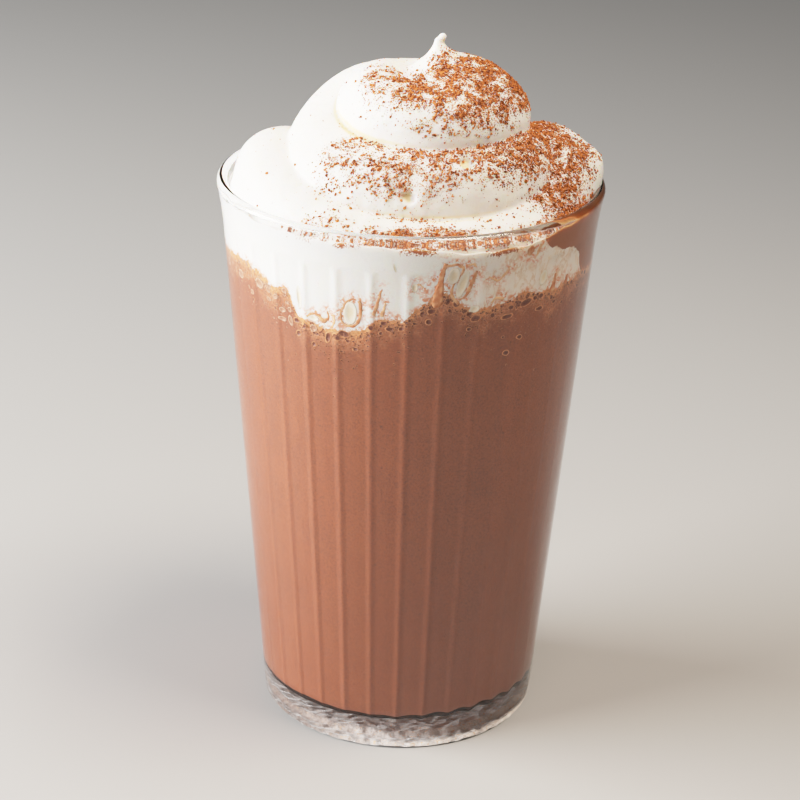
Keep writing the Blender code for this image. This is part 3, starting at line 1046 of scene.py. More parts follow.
# %% Cream against the glass
TUCK = 0.5  # how far the cream's lower edge lies behind the shake
# The rings of both ends: radius as a share of the wall's, drop below the edge, share of the ribs.
INWARD = np.array([0.985, 0.96, 0.9, 0.7, 0.4])[:, None]
SAG = np.array([-0.5, -1.4, -2.4, -2.6, -2.6])[:, None]
RIBS_LEFT = np.array([0.9, 0.6, 0.2, 0.0, 0.0])[:, None]


def make_wall_cream():
    below = shake_line - OVERLAP - 1.0
    wall_z = below + np.linspace(0, 1, 64)[:, None] * (cream_line - below)
    reach = INTO_WALL + 0.05 - TUCK * soft_step(-(wall_z - shake_line), 0.0, 2.2)
    wall_r = wall_inside(wall_z) + reach
    top_z = cream_line + SAG
    radii = np.vstack([INWARD[::-1] * wall_r[0], wall_r, INWARD * wall_r[-1]])
    heights = np.vstack([np.broadcast_to(below, top_z.shape), wall_z, top_z])
    ribbed = np.vstack([RIBS_LEFT[::-1], np.ones((len(wall_z), 1)), RIBS_LEFT])
    compass = np.broadcast_to(COMPASS, heights.shape)
    tan, smear = wall_stains(compass, heights)
    mesh = skin("wall_cream_skin", radii, heights, (float(below.mean()), float(top_z[-1].mean())),
                ribbed=ribbed, rise=heights - shake_line, tan=tan, smear=smear,
                beside_trail=beside_trails(compass, heights),
                cocoa=fallen_cocoa(compass, cream_line - heights))
    press("whipped_cream_in_glass", mesh, WALL_CREAM, "whipped_cream", "whipped_cream")


make_wall_cream()

# %% [markdown]
# ## Froth bubbles
# Where shake meets cream it is froth, and its larger bubbles press against the glass. Each one
# shows as a small dark hollow with a pale rim. The tree below sets a thin lens on every point of
# a list, bends it round the wall and roughens its outline a little. A few large bubbles are
# listed one by one, and many small ones are spread at random below the ragged line.

# %% The bubble tree
def wall_field(z):
    """The inside of the wall, without ribs, in metres, for a Geometry Nodes tree."""
    slope_up, start = 1 / (FLARE_HEIGHT * MM), 1 - WALL_TOP / FLARE_HEIGHT
    bend = maths("MULTIPLY_ADD", z, slope_up, start, clamp=True) ** 2.0
    return bend * (FLARE * MM) + (z * WALL_SLOPE + (FOOT_RADIUS - WALL) * MM)


def hug_rule(tree, geometry, flatness, waver):
    """Bends geometry round the wall and presses it flat, apart from the lift it carries."""
    place = position(tree)
    shake = node(tree, "ShaderNodeTexNoise", {"Vector": place, "Scale": 900.0, "Detail": 1.0}, "Color")
    shake = vectors("SCALE", vectors("SUBTRACT", shake, (0.5, 0.5, 0.5)), waver)
    x, y, z = parts(vectors("ADD", place, shake))
    flat = combine(x, y, 0.0)
    wall = wall_field(z)
    level = wall + (vectors("LENGTH", flat, output="Value") - wall) * flatness + named(tree, "lift")
    side = vectors("SCALE", vectors("NORMALIZE", flat), level)
    inputs = {"Geometry": geometry, "Position": vectors("ADD", side, combine(0.0, 0.0, z))}
    return node(tree, "GeometryNodeSetPosition", inputs)


HUG_WALL = mesh_tree("hug_wall", hug_rule, flatness="Float", waver="Float")


def bubble_rule(tree, geometry, lens, finish):
    """A lens on every point, bent round the wall."""
    inputs = {"Points": geometry,
              "Instance": node(tree, "GeometryNodeObjectInfo", {"Object": lens}, "Geometry"),
              "Scale": combine(named(tree, "wide"), 1.0, named(tree, "tall")),
              "Rotation": combine(0.0, named(tree, "tilt"), named(tree, "facing"))}
    lenses = realized(node(tree, "GeometryNodeInstanceOnPoints", inputs))
    return dressed(use(tree, HUG_WALL, geometry=lenses, flatness=0.02, waver=0.00045), finish)


BUBBLE_TREE = mesh_tree("set_bubbles", bubble_rule, lens="Object", finish="Material")
print("bubble tree ready")

# %% [markdown]
# ### How a bubble looks
# A bubble at the glass is a hollow in the brown shake, darker in the middle because little
# light gets in, with a thin pale film at its rim. That shade is painted into its colour. High up
# in the pale froth the film is all that shows, and a hollow in the cream is painted a warm
# yellow, the glow of light through the cream. The lens carries how far each point is from its
# middle, and each bubble carries which of the three kinds it is.

# %% Bubble finish and shape
def bubble_looks(tree, place):
    edge, kind = carried(tree, "edge"), carried(tree, "kind")
    shade = edge + wander(place, 0.5, 0.6)
    # painted shade: the middle of a dark bubble is darker than its rim
    dark = blend(remap(shade, 0.25, 0.85), (0.14, 0.040, 0.024, 1), (0.29, 0.095, 0.048, 1))
    dark = blend(remap(edge, 0.66, 0.88), dark, (0.74, 0.31, 0.13, 1))
    ghost = blend(remap(edge, 0.6, 0.95), (0.46, 0.215, 0.130, 1), (0.68, 0.41, 0.28, 1))
    # painted glow: a hollow in the cream is warm yellow
    hollow = blend(remap(shade, 0.2, 0.8), (0.84, 0.67, 0.46, 1), (0.90, 0.80, 0.66, 1))
    hollow = blend(remap(edge, 0.8, 0.97), hollow, (0.78, 0.52, 0.31, 1))
    colour = blend(remap(kind, 0.4, 0.6), dark, ghost)
    return {"Base Color": blend(remap(kind, 1.4, 1.6), colour, hollow),
            "Roughness": remap(edge, 0.5, 1.0, 0.3, 0.5), "Specular IOR Level": 0.3,
            "Normal": bump(edge ** 2.0, 0.25)}


BUBBLE = material("froth_bubble", bubble_looks)
LENS_FRONT, LENS_BACK = 0.08, -0.2  # how far the two middles are lifted off the wall
LENS_RINGS = ((0.5, 0.085), (0.8, 0.10), (1.0, 0.02), (0.7, -0.15))  # share of the radius, and lift


def lens_shape(sides):
    """A thin closed lens in the XZ plane, one unit across, that faces the front."""
    angles = FULL_TURN * np.arange(sides) / sides
    rows = [(share, angle, lift) for share, lift in LENS_RINGS for angle in angles]
    edge, angle, lift = np.array([(0.0, 0.0, LENS_FRONT), *rows, (0.0, 0.0, LENS_BACK)]).T
    points = np.column_stack([0.5 * edge * np.cos(angle), 0 * edge, 0.5 * edge * np.sin(angle)])
    ring = 1 + np.arange(len(rows)).reshape(-1, sides)
    after = np.roll(ring, -1, axis=1)
    front = np.column_stack([np.zeros(sides, int), ring[0], after[0]])
    between = np.stack([ring[:-1], ring[1:], after[1:], after[:-1]], axis=-1).reshape(-1, 4)
    back = np.column_stack([np.full(sides, len(points) - 1), after[-1], ring[-1]])
    faces = front.tolist() + between.tolist() + back.tolist()
    mesh = new_mesh("lens", points.tolist(), faces, edge=edge, lift=(lift + INTO_WALL) * MM)
    return put_in_scene("lens", mesh)


print("bubble shape ready")

# %% The bubbles
DARK, GHOST, HOLLOW = 0, 1, 2
# Compass degrees, height, width, height of the bubble and tilt in degrees, for each kind.
LARGE_BUBBLES = {
    DARK: (
        (-36.3, 106.9, 1.2, 1.3, 20), (-25.4, 107.6, 1.2, 2.4, 15), (-19.9, 109.1, 2.5, 1.5, 15),
        (-8.2, 110.3, 0.8, 0.9, 0), (-5.3, 111.5, 1.9, 1.1, 0), (-1.8, 111.7, 1.2, 1.0, 0),
        (-7.3, 112.7, 1.4, 1.1, 0), (2.2, 113.0, 0.9, 0.8, 0), (4.6, 115.5, 0.9, 1.2, 10),
        (7.3, 116.0, 1.8, 1.3, -10), (9.7, 117.9, 1.4, 1.4, 0), (12.1, 118.3, 1.1, 1.6, 10),
        (13.0, 116.0, 1.0, 1.0, 0), (17.3, 113.8, 0.9, 0.8, 0), (21.4, 113.7, 2.1, 1.4, -15),
        (27.1, 113.9, 1.1, 1.2, 0), (32.3, 113.0, 2.6, 1.1, -8), (33.5, 115.1, 1.4, 0.9, 0),
        (39.3, 115.5, 3.3, 1.5, -18), (35.9, 115.4, 0.7, 2.2, 10), (45.2, 113.1, 2.1, 1.0, 0),
        (50.6, 114.9, 1.0, 0.9, 0), (-45.9, 111.3, 0.8, 1.0, 10)),
    GHOST: (
        (-39.5, 109.4, 1.3, 2.6, -15), (-53.4, 115.6, 3.0, 2.3, 25), (-65.0, 115.2, 2.4, 2.2, 0),
        (-42.7, 111.4, 2.0, 1.2, 0), (-39.6, 112.0, 1.1, 1.3, 0), (-42.9, 109.2, 2.6, 1.0, 0),
        (-30.6, 109.0, 1.8, 1.9, 0), (-58.0, 112.5, 1.6, 1.3, 0), (-49.0, 112.8, 1.5, 1.0, 10)),
    HOLLOW: (
        (-30.5, 111.6, 2.8, 1.5, 0), (-17.8, 114.4, 3.3, 6.2, 4), (-35.6, 115.8, 1.5, 6.2, -3),
        (2.0, 121.7, 1.6, 2.3, 0), (13.7, 124.4, 2.9, 4.6, 8), (16.6, 122.4, 2.4, 7.6, 16),
        (-4.1, 126.3, 0.5, 2.2, -15), (45.6, 120.6, 2.6, 4.2, 12), (20.8, 116.0, 2.6, 1.9, -10))}
SMALL_BUBBLES = 2600
MIDDLE_BUBBLES = 360
DARK_SWELL = 1.25  # a dark bubble's pale rim takes up part of its size, so it is made larger


def on_wall(compass, height):
    """Points on the inside of the wall, in metres, from compass degrees and heights."""
    facing, r = np.radians(compass), wall_inside(height)
    return (np.column_stack([r * np.sin(facing), -r * np.cos(facing), height]) * MM).tolist()


def spread_bubbles(rng, count, smallest, largest, depth):
    """Random bubbles below the ragged line, most of them close to it."""
    compass = rng.uniform(-180, 180, count)
    below = 0.5 + rng.exponential(depth, count)
    height = curve(SHAKE_EDGE, compass, 360.0)[:, 0] - below
    width = smallest + (largest - smallest) * rng.random(count) ** 2.5
    tall = width * rng.uniform(0.6, 1.05, count)
    tilt = rng.uniform(-25, 25, count)
    pale = (compass < -38) & (compass > -100) & (rng.random(count) < 0.75)
    return np.column_stack([compass, height, width, tall, tilt, np.where(pale, GHOST, DARK)])


def make_bubbles(name, rows, sides):
    compass, height, width, tall, tilt, kind = np.array(rows, float).T
    mesh = new_mesh(name, on_wall(compass, height), wide=width * MM, tall=tall * MM,
                    tilt=np.radians(tilt), facing=np.radians(compass), kind=kind,
                    ribbed=np.ones(len(kind)))
    lens = lens_shape(sides)
    grown = grow(name, mesh, BUBBLE_TREE, lens=lens, finish=BUBBLE)
    bpy.data.objects.remove(lens)
    press(name, grown, BUBBLE, "chocolate_milkshake")


def make_froth():
    rng = np.random.default_rng(11)
    middle = spread_bubbles(rng, MIDDLE_BUBBLES, 0.55, 2.0, 2.2)
    small = spread_bubbles(rng, SMALL_BUBBLES, 0.22, 0.62, 3.0)
    placed = np.array([(*row, kind) for kind, rows in LARGE_BUBBLES.items() for row in rows])
    placed[placed[:, 5] == DARK, 2:4] *= DARK_SWELL
    make_bubbles("large_bubbles", np.vstack([placed, middle]), 16)
    make_bubbles("small_bubbles", small, 8)


make_froth()

# %% [markdown]
# ## Trails of shake in the cream
# Thin trails of shake were drawn up between cream and glass. Each is a path on the wall with a
# width at every point. A tree turns the paths into tubes, presses them flat on the wall, and the
# rib tree then lays them into the flutes.

# %% Trails
def trail_rule(tree, geometry, finish):
    """Tubes along the paths, pressed flat on the wall."""
    circle = node(tree, "GeometryNodeCurvePrimitiveCircle", {"Resolution": 8, "Radius": 1.0})
    inputs = {"Curve": node(tree, "GeometryNodeMeshToCurve", {0: geometry}), "Profile Curve": circle,
              "Scale": named(tree, "wide") * 0.5, "Fill Caps": True}
    tubes = node(tree, "GeometryNodeCurveToMesh", inputs)
    return dressed(use(tree, HUG_WALL, geometry=tubes, flatness=0.12, waver=0.0007), finish)


def trail_looks(tree, place):
    tone = carried(tree, "tan") + noise_at(place, 1.2) * 1.6 - 0.7
    colour = blend(remap(tone, -0.2, 0.8), (0.52, 0.150, 0.047, 1), (0.86, 0.50, 0.27, 1))
    return {"Base Color": colour, "Roughness": remap(tone, 0.0, 1.0, 0.4, 0.55),
            "Specular IOR Level": 0.25, "Normal": bump(noise_at(place, 0.6), 0.04)}


def make_trails():
    points, edges, wide, tan = [], [], [], []
    for rows, tone in TRAILS:
        compass, height, width = trail_steps(rows).T
        first = len(points)
        points += on_wall(compass, height)
        edges += [(k, k + 1) for k in range(first, len(points) - 1)]
        wide += (width * MM).tolist()
        tan += [tone] * len(width)
    flat = np.ones(len(points))
    mesh = new_mesh("trail_paths", points, edges=edges, wide=wide, tan=tan, ribbed=flat,
                    lift=flat * (INTO_WALL + 0.06) * MM)
    tree = mesh_tree("lay_trails", trail_rule, finish="Material")
    trail = material("shake_trail", trail_looks)
    press("shake_trails", grow("trails", mesh, tree, finish=trail), trail, "chocolate_milkshake")


make_trails()

# %% [markdown]
# ## The swirl
# The cream above the rim was piped as one thick rope: a collar that lies against the glass, and
# a swirl on top of it that climbs clockwise, seen from above, and is drawn up into a peak. A
# rope that touches itself is hard to mesh by hand, so its shape is written as a distance: how
# far any point in space is from the surface of the cream. Ropes are blended where they touch,
# which leaves the soft folds, and the surface is then laid where the distance is nought.

# %% The ropes, as rows
# Turn in degrees, radius of the path, its height, radius of the rope, middle of the turn X, Y.
COLLAR = ((180, 30.9, 133.6, 10.0, 0, 0), (220, 31.2, 129.6, 9.0, 0, 0),
          (270, 32.2, 126.2, 7.4, 0, 0), (315, 32.0, 127.4, 7.8, 0, 0),
          (342, 32.8, 131.4, 8.4, 0, 0), (360, 33.7, 136.0, 10.6, 0, 0),
          (380, 32.8, 134.6, 10.0, 0, 0), (405, 31.2, 131.0, 9.2, 0, 0),
          (450, 28.5, 129.8, 9.0, 0, 0), (500, 29.0, 130.3, 9.2, 0, 0))
SWIRL = ((-60, 15.0, 133.0, 8.5, 2, 2), (-20, 19.6, 135.6, 11.0, 1.5, 1),
         (20, 21.5, 136.2, 12.0, 1, 0), (45, 20.7, 135.5, 12.2, 1, 0),
         (90, 18.8, 134.4, 12.6, 1, 0), (135, 19.3, 133.8, 13.5, 0.5, 0),
         (180, 16.6, 138.3, 12.9, 0, 0), (225, 13.4, 143.8, 13.0, -1, 1),
         (270, 10.8, 145.2, 11.9, -4, 2), (315, 9.0, 146.5, 11.0, 0, 2),
         (360, 11.8, 148.8, 9.6, 5, 0), (405, 12.0, 148.6, 9.6, 5, 0),
         (450, 12.0, 148.1, 9.9, 5, 0), (495, 12.4, 149.4, 9.7, 5, 0),
         (540, 13.2, 151.3, 9.0, 5, 0), (590, 9.0, 151.6, 7.8, 5, 1), (640, 4.0, 152.0, 6.5, 5, 0))
SWIRL_AXIS = (2.5, 0.5)
CORE_MIDDLE, CORE_SIZE = (0.0, 0.0, 130.0), (27.0, 27.0, 19.0)
CAP_MIDDLE, CAP_SIZE = (8.7, 0.0, 149.6), (14.2, 12.5, 13.4)
PEAK_FOOT, PEAK_TIP = (6.3, 0.0, 157.2), (5.3, 0.0, 165.9)
PEAK_FOOT_RADIUS, PEAK_TIP_RADIUS = 9.3, 0.95
PEAK_CURL, PEAK_CURL_RADIUS = (6.25, 0.0, 166.95), 0.8
STROKE_NORMAL, STROKE_REACH = (0.411, 0.0, 0.912), 145.3  # the flat stroke over the lobe on the right
MOUTH_RADIUS = 40.9  # the cream stands this far out inside the glass
CROWN_BOTTOM = 126.5
PLUG_MIDDLE, PLUG_HALF = 118.0, 12.5  # the cream inside the glass, up and down
BESIDE_WALL = 0.35  # how far the swirl stays clear of the glass


def round_axis(rows, sense, samples, period=None):
    """A rope as angle, radius, height and thickness round the swirl's own axis."""
    last = rows[0][0] + period if period else rows[-1][0]
    turn = np.linspace(rows[0][0], last, samples)
    path, height, thick, x, y = curve(rows, turn, period).T
    if period:
        path[-1], height[-1], thick[-1] = path[0], height[0], thick[0]
    angle = np.radians(turn) * sense
    x = x + path * np.cos(angle) - SWIRL_AXIS[0]
    y = y + path * np.sin(angle) - SWIRL_AXIS[1]
    around = np.unwrap(np.arctan2(y, x))
    order = np.argsort(around)
    return [values[order] for values in (around, np.hypot(x, y), height, thick)]


COLLAR_ROPE = round_axis(COLLAR, 1, 200, 360.0)
SWIRL_ROPE = round_axis(SWIRL, -1, 400)
print(f"the swirl makes {np.ptp(SWIRL_ROPE[0]) / FULL_TURN:.1f} turns")

# %% The distance to the cream
def merged(a, b, width):
    """The nearer of two distances, with a fillet of the given width where they cross."""
    share = np.clip(0.5 + 0.5 * (b - a) / width, 0, 1)
    return b + (a - b) * share - width * share * (1 - share)


def rope_distance(rope, around, out, z):
    angles, path, height, thick = rope
    r = np.interp(around, angles, path)
    radius = np.interp(around, angles, thick)
    flat = np.hypot(out - r, z - np.interp(around, angles, height))
    past = np.maximum(angles[0] - around, around - angles[-1])
    return np.where(past > 0, np.hypot(flat, past * r), flat) - radius


def egg_distance(points, middle, size):
    scaled = (points - np.array(middle)) / np.array(size)
    return (np.linalg.norm(scaled, axis=-1) - 1) * min(size)


def peak_distance(points):
    foot, tip = np.array(PEAK_FOOT), np.array(PEAK_TIP)
    length = np.linalg.norm(tip - foot)
    along = np.clip((points - foot) @ (tip - foot) / length, 0, length)
    nearest = foot + along[..., None] * (tip - foot) / length
    radius = PEAK_TIP_RADIUS + (PEAK_FOOT_RADIUS - PEAK_TIP_RADIUS) * (1 - along / length) ** 1.3
    curl = np.linalg.norm(points - np.array(PEAK_CURL), axis=-1) - PEAK_CURL_RADIUS
    return merged((np.linalg.norm(points - nearest, axis=-1) - radius) * 0.7, curl, 0.8)


def cream_distance(points):
    """Millimetres from each point to the cream, negative inside it."""
    x, y, z = np.moveaxis(points, -1, 0)
    plug = np.maximum(np.hypot(x, y) - MOUTH_RADIUS, np.abs(z - PLUG_MIDDLE) - PLUG_HALF)
    around = np.arctan2(y - SWIRL_AXIS[1], x - SWIRL_AXIS[0])
    out = np.hypot(x - SWIRL_AXIS[0], y - SWIRL_AXIS[1])
    first = COLLAR_ROPE[0][0]
    collar = rope_distance(COLLAR_ROPE, first + (around - first) % FULL_TURN, out, z)
    collar = -merged(-collar, STROKE_REACH - points @ np.array(STROKE_NORMAL), 1.5)
    solid = merged(collar, merged(plug, egg_distance(points, CORE_MIDDLE, CORE_SIZE), 3.0), 4.0)
    low, high = SWIRL_ROPE[0][0], SWIRL_ROPE[0][-1]
    around = low + (around - low) % FULL_TURN
    turns = int((high - low) // FULL_TURN) + 1
    for turn in range(turns, -1, -1):
        solid = merged(solid, rope_distance(SWIRL_ROPE, around + turn * FULL_TURN, out, z), 0.6)
    cap = egg_distance(points, CAP_MIDDLE, CAP_SIZE)
    solid = merged(solid, cap, 1.2 + 4.0 * soft_step(x, 3.0, 11.0))
    solid = merged(solid, peak_distance(points), 1.5)
    past_rim = np.maximum(z - HEIGHT + 1.0, 0.0)
    beside_wall = wall_inside(np.minimum(z, HEIGHT)) - BESIDE_WALL + 3.0 * past_rim
    solid = np.maximum(solid, (np.hypot(x, y) - beside_wall) * 0.7)
    return np.maximum(solid, CROWN_BOTTOM - z)


print("distance at the axis, 150 mm up:", cream_distance(np.array([[0.0, 0.0, 150.0]])).round(1))

# %% [markdown]
# ### Laying a skin where the distance is nought
# Space is cut into small cubes. Where the distance changes sign along a cube's edge, the
# surface crosses it. Every cube that is crossed gets one point, at the mean of its crossings,
# and every crossed edge gets a face between its four cubes. The points are then pulled exactly
# onto the surface.

# %% The skin of the swirl
CUBE = 0.5
LOW_CORNER = (-46.0, -46.0, 125.0)
HIGH_CORNER = (46.0, 46.0, 169.5)


def sample_block(distance):
    axes = [np.arange(low, high, CUBE) for low, high in zip(LOW_CORNER, HIGH_CORNER)]
    slabs = []
    for x in axes[0]:
        grid = np.stack(np.meshgrid([x], axes[1], axes[2], indexing="ij"), axis=-1)
        slabs.append(distance(grid.reshape(-1, 3)).reshape(grid.shape[1:3]))
    return np.stack(slabs)


def lay_skin(values):
    """Points and outward faces of the surface where a block of values changes sign."""
    cells = np.array(values.shape) - 1
    stride = np.array([cells[1] * cells[2], cells[2], 1])
    total = np.zeros((cells.prod(), 3))
    count = np.zeros(cells.prod())
    faces = []
    for axis in range(3):
        a = values[tuple(slice(None, -1) if k == axis else slice(None) for k in range(3))]
        b = values[tuple(slice(1, None) if k == axis else slice(None) for k in range(3))]
        edge = np.argwhere((a < 0) != (b < 0))
        start, end = a[tuple(edge.T)], b[tuple(edge.T)]
        crossing = edge.astype(float)
        crossing[:, axis] += start / (start - end)
        u, v = (axis + 1) % 3, (axis + 2) % 3
        corners = []
        for du, dv in ((0, 0), (-1, 0), (-1, -1), (0, -1)):
            cell = edge.copy()
            cell[:, u] += du
            cell[:, v] += dv
            flat = cell @ stride
            corners.append(flat)
            count += np.bincount(flat, minlength=len(count))
            for k in range(3):
                total[:, k] += np.bincount(flat, crossing[:, k], minlength=len(count))
        quad = np.column_stack(corners)
        quad[start >= 0] = quad[start >= 0][:, ::-1]
        faces.append(quad)
    used = np.flatnonzero(count)
    number = np.zeros(len(count), int)
    number[used] = np.arange(len(used))
    points = total[used] / count[used, None] * CUBE + np.array(LOW_CORNER)
    return points, number[np.vstack(faces)]


def slope(distance, points, step=0.15):
    """The direction in which the distance grows fastest, of length one."""
    change = [distance(points + shift) - distance(points - shift) for shift in np.eye(3) * step]
    change = np.stack(change, axis=-1)
    return change / np.maximum(np.linalg.norm(change, axis=-1, keepdims=True), 1e-9)


crown_points, crown_faces = lay_skin(sample_block(cream_distance))
for _ in range(2):
    crown_points -= cream_distance(crown_points)[:, None] * slope(cream_distance, crown_points)
print(f"swirl: {len(crown_points)} points, top at {crown_points[:, 2].max():.1f} mm")

# %% [markdown]
# ### Cocoa, as a value
# Cocoa falls straight down through a sieve held a little to the right, so how much lies
# anywhere depends on the place seen from above and on how level the surface is there. A few
# soft patches, some dense and some thin, describe it.

# %% Where cocoa lies
# Middle X and Y, half widths, and how densely the patch is dusted.
COCOA_PATCHES = ((28, -8, 15, 15, 0.92), (14, -12, 11, 12, 1.0), (2, -12, 9, 7, 0.78),
                 (-6, -8, 6, 7, 0.5), (12, -22, 12, 5, 0.7), (20, -13, 11, 5, 1.0),
                 (0, -26, 11, 6, 0.65), (-12, -22, 9, 7, 0.5), (30, -15, 5, 9, 0.95),
                 (18, -38, 17, 4, 0.9), (3, -39, 9, 4, 1.0), (-10, -39, 10, 3.5, 0.6),
                 (25, 6, 10, 8, 0.4), (-22, -35, 8, 4, 0.45))
BARE_PATCHES = ((43, -9, 3, 10, 0.4), (30, -28, 8, 5, 0.75))
RIM_DRIFT = (37.6, 39.8, 1.0)  # cocoa beside the glass: from this radius to this, and how dense
BARE_PEAK = 165.0  # above this the peak is too thin for cocoa to stay on it
THIN_DUST = 0.03
RIGHT_OF_MIDDLE = 0.10


def in_patch(x, y, middle_x, middle_y, wide, deep):
    """One inside an oval patch seen from above, falling softly to nought round it."""
    reach = ((x - middle_x) / wide) ** 2 + ((y - middle_y) / deep) ** 2
    return soft_step(1.9 - reach, 0.0, 1.6)


def cocoa_at(points, normals):
    """How much cocoa lies at each point, from nought to one."""
    x, y, z = points.T
    amount = np.zeros(len(points))
    for *patch, dense in COCOA_PATCHES:
        amount = np.maximum(amount, dense * in_patch(x, y, *patch))
    for *patch, bare in BARE_PATCHES:
        amount *= 1 - bare * in_patch(x, y, *patch)
    start, end, dense = RIM_DRIFT
    beside_glass = soft_step(np.hypot(x, y), start, end) * soft_step(x, 12, 24) * soft_step(-y, 2, 10)
    amount = np.maximum(amount, dense * beside_glass * (z < HEIGHT - 1.0))
    amount += THIN_DUST + RIGHT_OF_MIDDLE * soft_step(x, -14, 20)
    level = soft_step(normals[:, 2], -0.15, 0.75) * (z < BARE_PEAK)
    return np.clip(amount * level, 0, 1)


print(len(COCOA_PATCHES), "patches of cocoa")

# %% The swirl's fine shape
RIPPLE = 0.035
LUMP = 0.30
FINE_LUMP = 0.10
# The place, width and depth of each burst bubble.
PITS = (((12.4, -23.7, 144.7), 2.9, 1.5), ((-0.4, -30.6, 138.7), 2.4, 1.1),
        ((8.0, -3.8, 161.2), 2.2, 0.8))


def in_pit(points, place, width):
    """One in the middle of a burst bubble, falling to nought at its ragged edge."""
    away = points - np.array(place)
    ragged = np.array([0.5 * noise.noise(Vector(p) / 1.1) for p in away])
    far = np.linalg.norm(away * (1.0, 1.0, 1.25), axis=1)
    return soft_step(width + ragged - far, 0, 0.6 * width)


def lump_at(point):
    return LUMP * noise.noise(Vector(point) / 7.0) + FINE_LUMP * noise.noise(Vector(point) / 1.9)


def rough_up(points, normals):
    """Soft lumps and faint ripples, as a spoon or a nozzle leaves them, and three burst bubbles."""
    x, y, z = points.T
    offset = np.array([lump_at(point) for point in points])
    around = np.arctan2(y, x)
    skirt = soft_step(z, 131, 136) * (1 - soft_step(z, 141, 146)) * (y < 0)
    offset += RIPPLE * skirt * np.sin(around * 46 + 2.0 * np.sin(around * 7))
    for place, width, depth in PITS:
        offset -= depth * in_pit(points, place, width)
    return points + offset[:, None] * normals


def make_swirl(points, faces):
    normals = slope(cream_distance, points)
    # crease says where painted glow goes: the deeper the fold, the more
    crease = np.clip(1 - cream_distance(points + normals * 2.5) / 2.5, 0, 1)
    cocoa = cocoa_at(points, normals)
    for place, width, _ in PITS:
        hole = in_pit(points, place, width)
        # painted shade and glow: the left half of each burst bubble, away from the key lamp, turns warm
        # yellow
        crease = np.maximum(crease, 0.75 * hole * (points[:, 0] < place[0] + 0.6))
        cocoa *= 1 - hole
    shaped = rough_up(points, normals)
    shaped[:, 2] = np.minimum(shaped[:, 2], cad_box[1][2] / MM - 0.05)
    mesh = new_mesh("whipped_cream_swirl", (shaped * MM).tolist(), faces.tolist(), crease=crease,
                    cocoa=cocoa)
    mesh.materials.append(CREAM)
    return finish_piece("whipped_cream_swirl", mesh, "whipped_cream", "whipped_cream")


swirl = make_swirl(crown_points, crown_faces)

# %% [markdown]
# ## Cocoa grains
# Geometry Nodes scatter the grains: points are spread over the cream, more where the cocoa
# value is high, and each gets a small rough ball, turned and sized at random. Clumps are few
# and have twenty faces. Dust is plentiful and has eight.

# %% The scattering tree
def scatter_rule(tree, geometry, grain, density, smallest, largest, power, seed, finish):
    """Grains on the faces, more where the cocoa value is high, turned and sized at random."""
    drifts = node(tree, "ShaderNodeTexNoise", {"Vector": position(tree), "Scale": 420.0, "Detail": 2.0})
    amount = named(tree, "cocoa") ** power * remap(drifts, 0.36, 0.62, 0.10, 2.0) * density
    inputs = {"Mesh": geometry, "Density": amount, "Seed": seed}
    points = node(tree, "GeometryNodeDistributePointsOnFaces", inputs, "Points")
    inputs = {2: 0.0, 3: 1.0, "Seed": seed}
    chance = node(tree, "FunctionNodeRandomValue", inputs, 1, data_type="FLOAT")
    width = smallest + chance ** 2.0 * (largest - smallest)
    inputs = {0: (0.5, 0.5, 0.5), 1: (1.4, 1.4, 1.4), "Seed": 3}
    stretch = node(tree, "FunctionNodeRandomValue", inputs, data_type="FLOAT_VECTOR")
    inputs = {0: (0, 0, 0), 1: (6.28, 6.28, 6.28), "Seed": 5}
    turn = node(tree, "FunctionNodeRandomValue", inputs, data_type="FLOAT_VECTOR")
    shape = node(tree, "GeometryNodeObjectInfo", {"Object": grain}, "Geometry")
    inputs = {"Points": points, "Instance": shape, "Scale": vectors("SCALE", stretch, width),
              "Rotation": turn}
    return dressed(node(tree, "GeometryNodeInstanceOnPoints", inputs), finish)


SCATTER_TREE = mesh_tree("scatter_grains", scatter_rule, grain="Object", density="Float",
                         smallest="Float", largest="Float", power="Float", seed="Int",
                         finish="Material")
print("scattering tree ready")

# %% The grains
DUST_CORNERS = ((1, 0, 0.1), (-1, 0.1, 0), (0, 1, 0), (0.1, -1, 0), (0, 0, 0.9), (0, 0, -0.9))


def grain_shape(name, corners):
    """The closed skin round a few corners, as an object that the tree can copy."""
    bm = bmesh.new()
    for corner in corners:
        bm.verts.new(corner)
    bmesh.ops.convex_hull(bm, input=bm.verts)
    bmesh.ops.recalc_face_normals(bm, faces=bm.faces)
    mesh = bpy.data.meshes.new(name)
    bm.to_mesh(mesh)
    bm.free()
    return put_in_scene(name, mesh)


def clump_corners():
    """The corners of a solid with twenty faces, each a little nearer or farther than the others."""
    gold = (1 + 5**0.5) / 2
    corners = []
    for a in (-1, 1):
        for b in (-gold, gold):
            corners += [Vector((0, a, b)), Vector((a, b, 0)), Vector((b, 0, a))]
    return [corner.normalized() * (0.5 + 0.09 * noise.noise(corner * 2.1)) for corner in corners]


def scatter_cocoa(name, corners, density, smallest, largest, power, seed):
    grain = grain_shape(name, corners)
    mesh = grow(name, swirl.data.copy(), SCATTER_TREE, grain=grain, density=density / MM**2,
                smallest=smallest * MM, largest=largest * MM, power=power, seed=seed, finish=COCOA)
    bpy.data.objects.remove(grain)
    finish_piece(name, mesh, "cocoa_powder")
    mesh.shade_flat()


scatter_cocoa("cocoa_clumps", clump_corners(), 4.5, 0.26, 0.80, 1.6, 4)
scatter_cocoa("cocoa_fines", [Vector(corner) / 2 for corner in DUST_CORNERS], 10.5, 0.18, 0.46, 1.5, 8)

# %% [markdown]
# ## Floor and light
# The drink stands on a plain pale floor. One large soft lamp on the left gives the shape its
# shading, a weak one on the right keeps the dark side readable, and a small one above lights
# the cocoa and the top of the cream.

# %% Floor and lamps
FLOOR_REACH = 12.0  # metres
FLOOR_DROP = 0.05 * MM  # keeps the floor clear of the foot of the glass


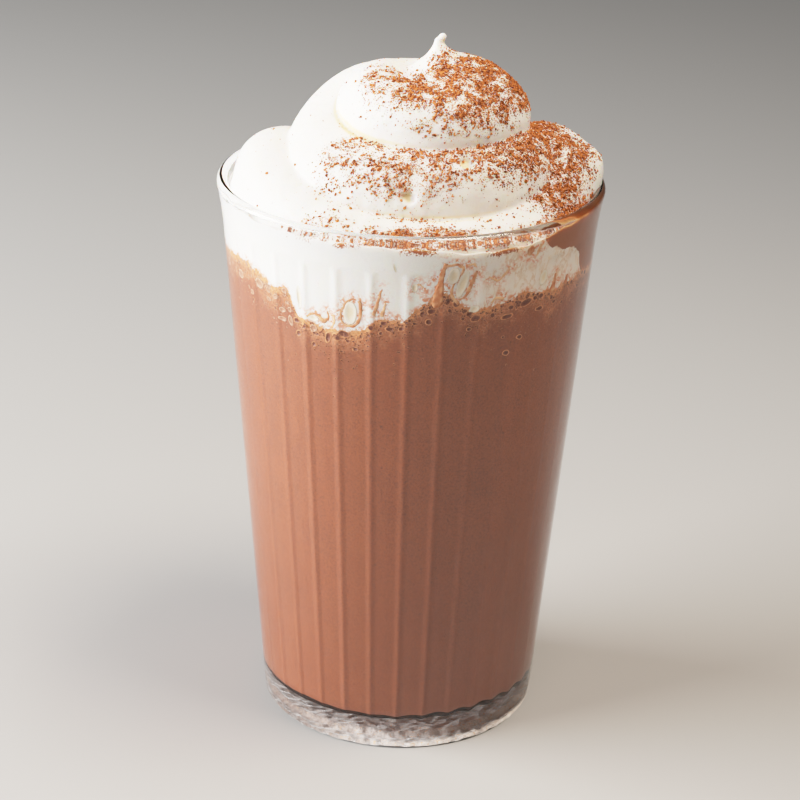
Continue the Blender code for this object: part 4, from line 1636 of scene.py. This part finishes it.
def floor_looks(tree, place):
    return {"Base Color": (0.53, 0.525, 0.515, 1), "Roughness": 0.8}


def make_floor():
    corners = [(x * FLOOR_REACH, y * FLOOR_REACH, 0) for x, y in ((-1, -1), (1, -1), (1, 1), (-1, 1))]
    mesh = new_mesh("floor", corners, [(0, 1, 2, 3)])
    mesh.materials.append(material("floor", floor_looks))
    floor = put_in_scene("floor", mesh)
    floor.location.z = -FLOOR_DROP


def make_lamp(name, place, aim, size, power, colour=(1, 1, 1)):
    data = bpy.data.lights.new(name, "AREA")
    data.shape = "RECTANGLE"
    data.size, data.size_y = size
    data.energy = power
    data.color = colour
    lamp = put_in_scene(name, data)
    lamp.location = place
    lamp.rotation_euler = (Vector(aim) - Vector(place)).to_track_quat("-Z", "Y").to_euler()


make_floor()
make_lamp("key", (-0.90, -0.12, 0.36), (0, 0, 0.09), (0.85, 0.75), 28.5)
make_lamp("fill", (0.62, -0.75, 0.5), (0, 0, 0.08), (0.6, 0.6), 0.45, (1.0, 0.76, 0.50))
make_lamp("top", (0.13, -0.06, 0.48), (0.01, 0, 0.14), (0.18, 0.18), 2.1, (1.0, 0.87, 0.74))
world = bpy.data.worlds.new("world")
scene.world = world
world.use_nodes = True
connect(world.node_tree.nodes["Background"], {0: (1.0, 0.94, 0.87, 1), 1: 0.055})
print("lamps and floor ready")

# %% [markdown]
# ### Tones, and paths of light
# The tone curve is straight in the darks and bends over in the lights, so the white cream keeps
# its folds. Glass in front of a drink needs many steps for a path of light. Caustics are off,
# because they would be slow and noisy.

# %% Exposure and light paths
BRIGHTEST = 3.0
SHOULDER = ((0.1, 0.1), (0.2, 0.2), (0.4, 0.385), (0.7, 0.60), (1.0, 0.74), (1.5, 0.865), (2.0, 0.925))
WHITE_SHOWN = 0.985
scene.view_settings.view_transform = "Standard"
scene.view_settings.use_curve_mapping = True
tones = scene.view_settings.curve_mapping
tones.white_level = (BRIGHTEST, BRIGHTEST, BRIGHTEST)
for light, shown in SHOULDER:
    tones.curves[3].points.new(light / BRIGHTEST, shown)
tones.curves[3].points[-1].location = (1.0, WHITE_SHOWN)
tones.update()
scene.cycles.max_bounces = 14
scene.cycles.transmission_bounces = 12
scene.cycles.transparent_max_bounces = 12
scene.cycles.caustics_reflective = False
scene.cycles.caustics_refractive = False
print("tone curve through", len(SHOULDER), "points")
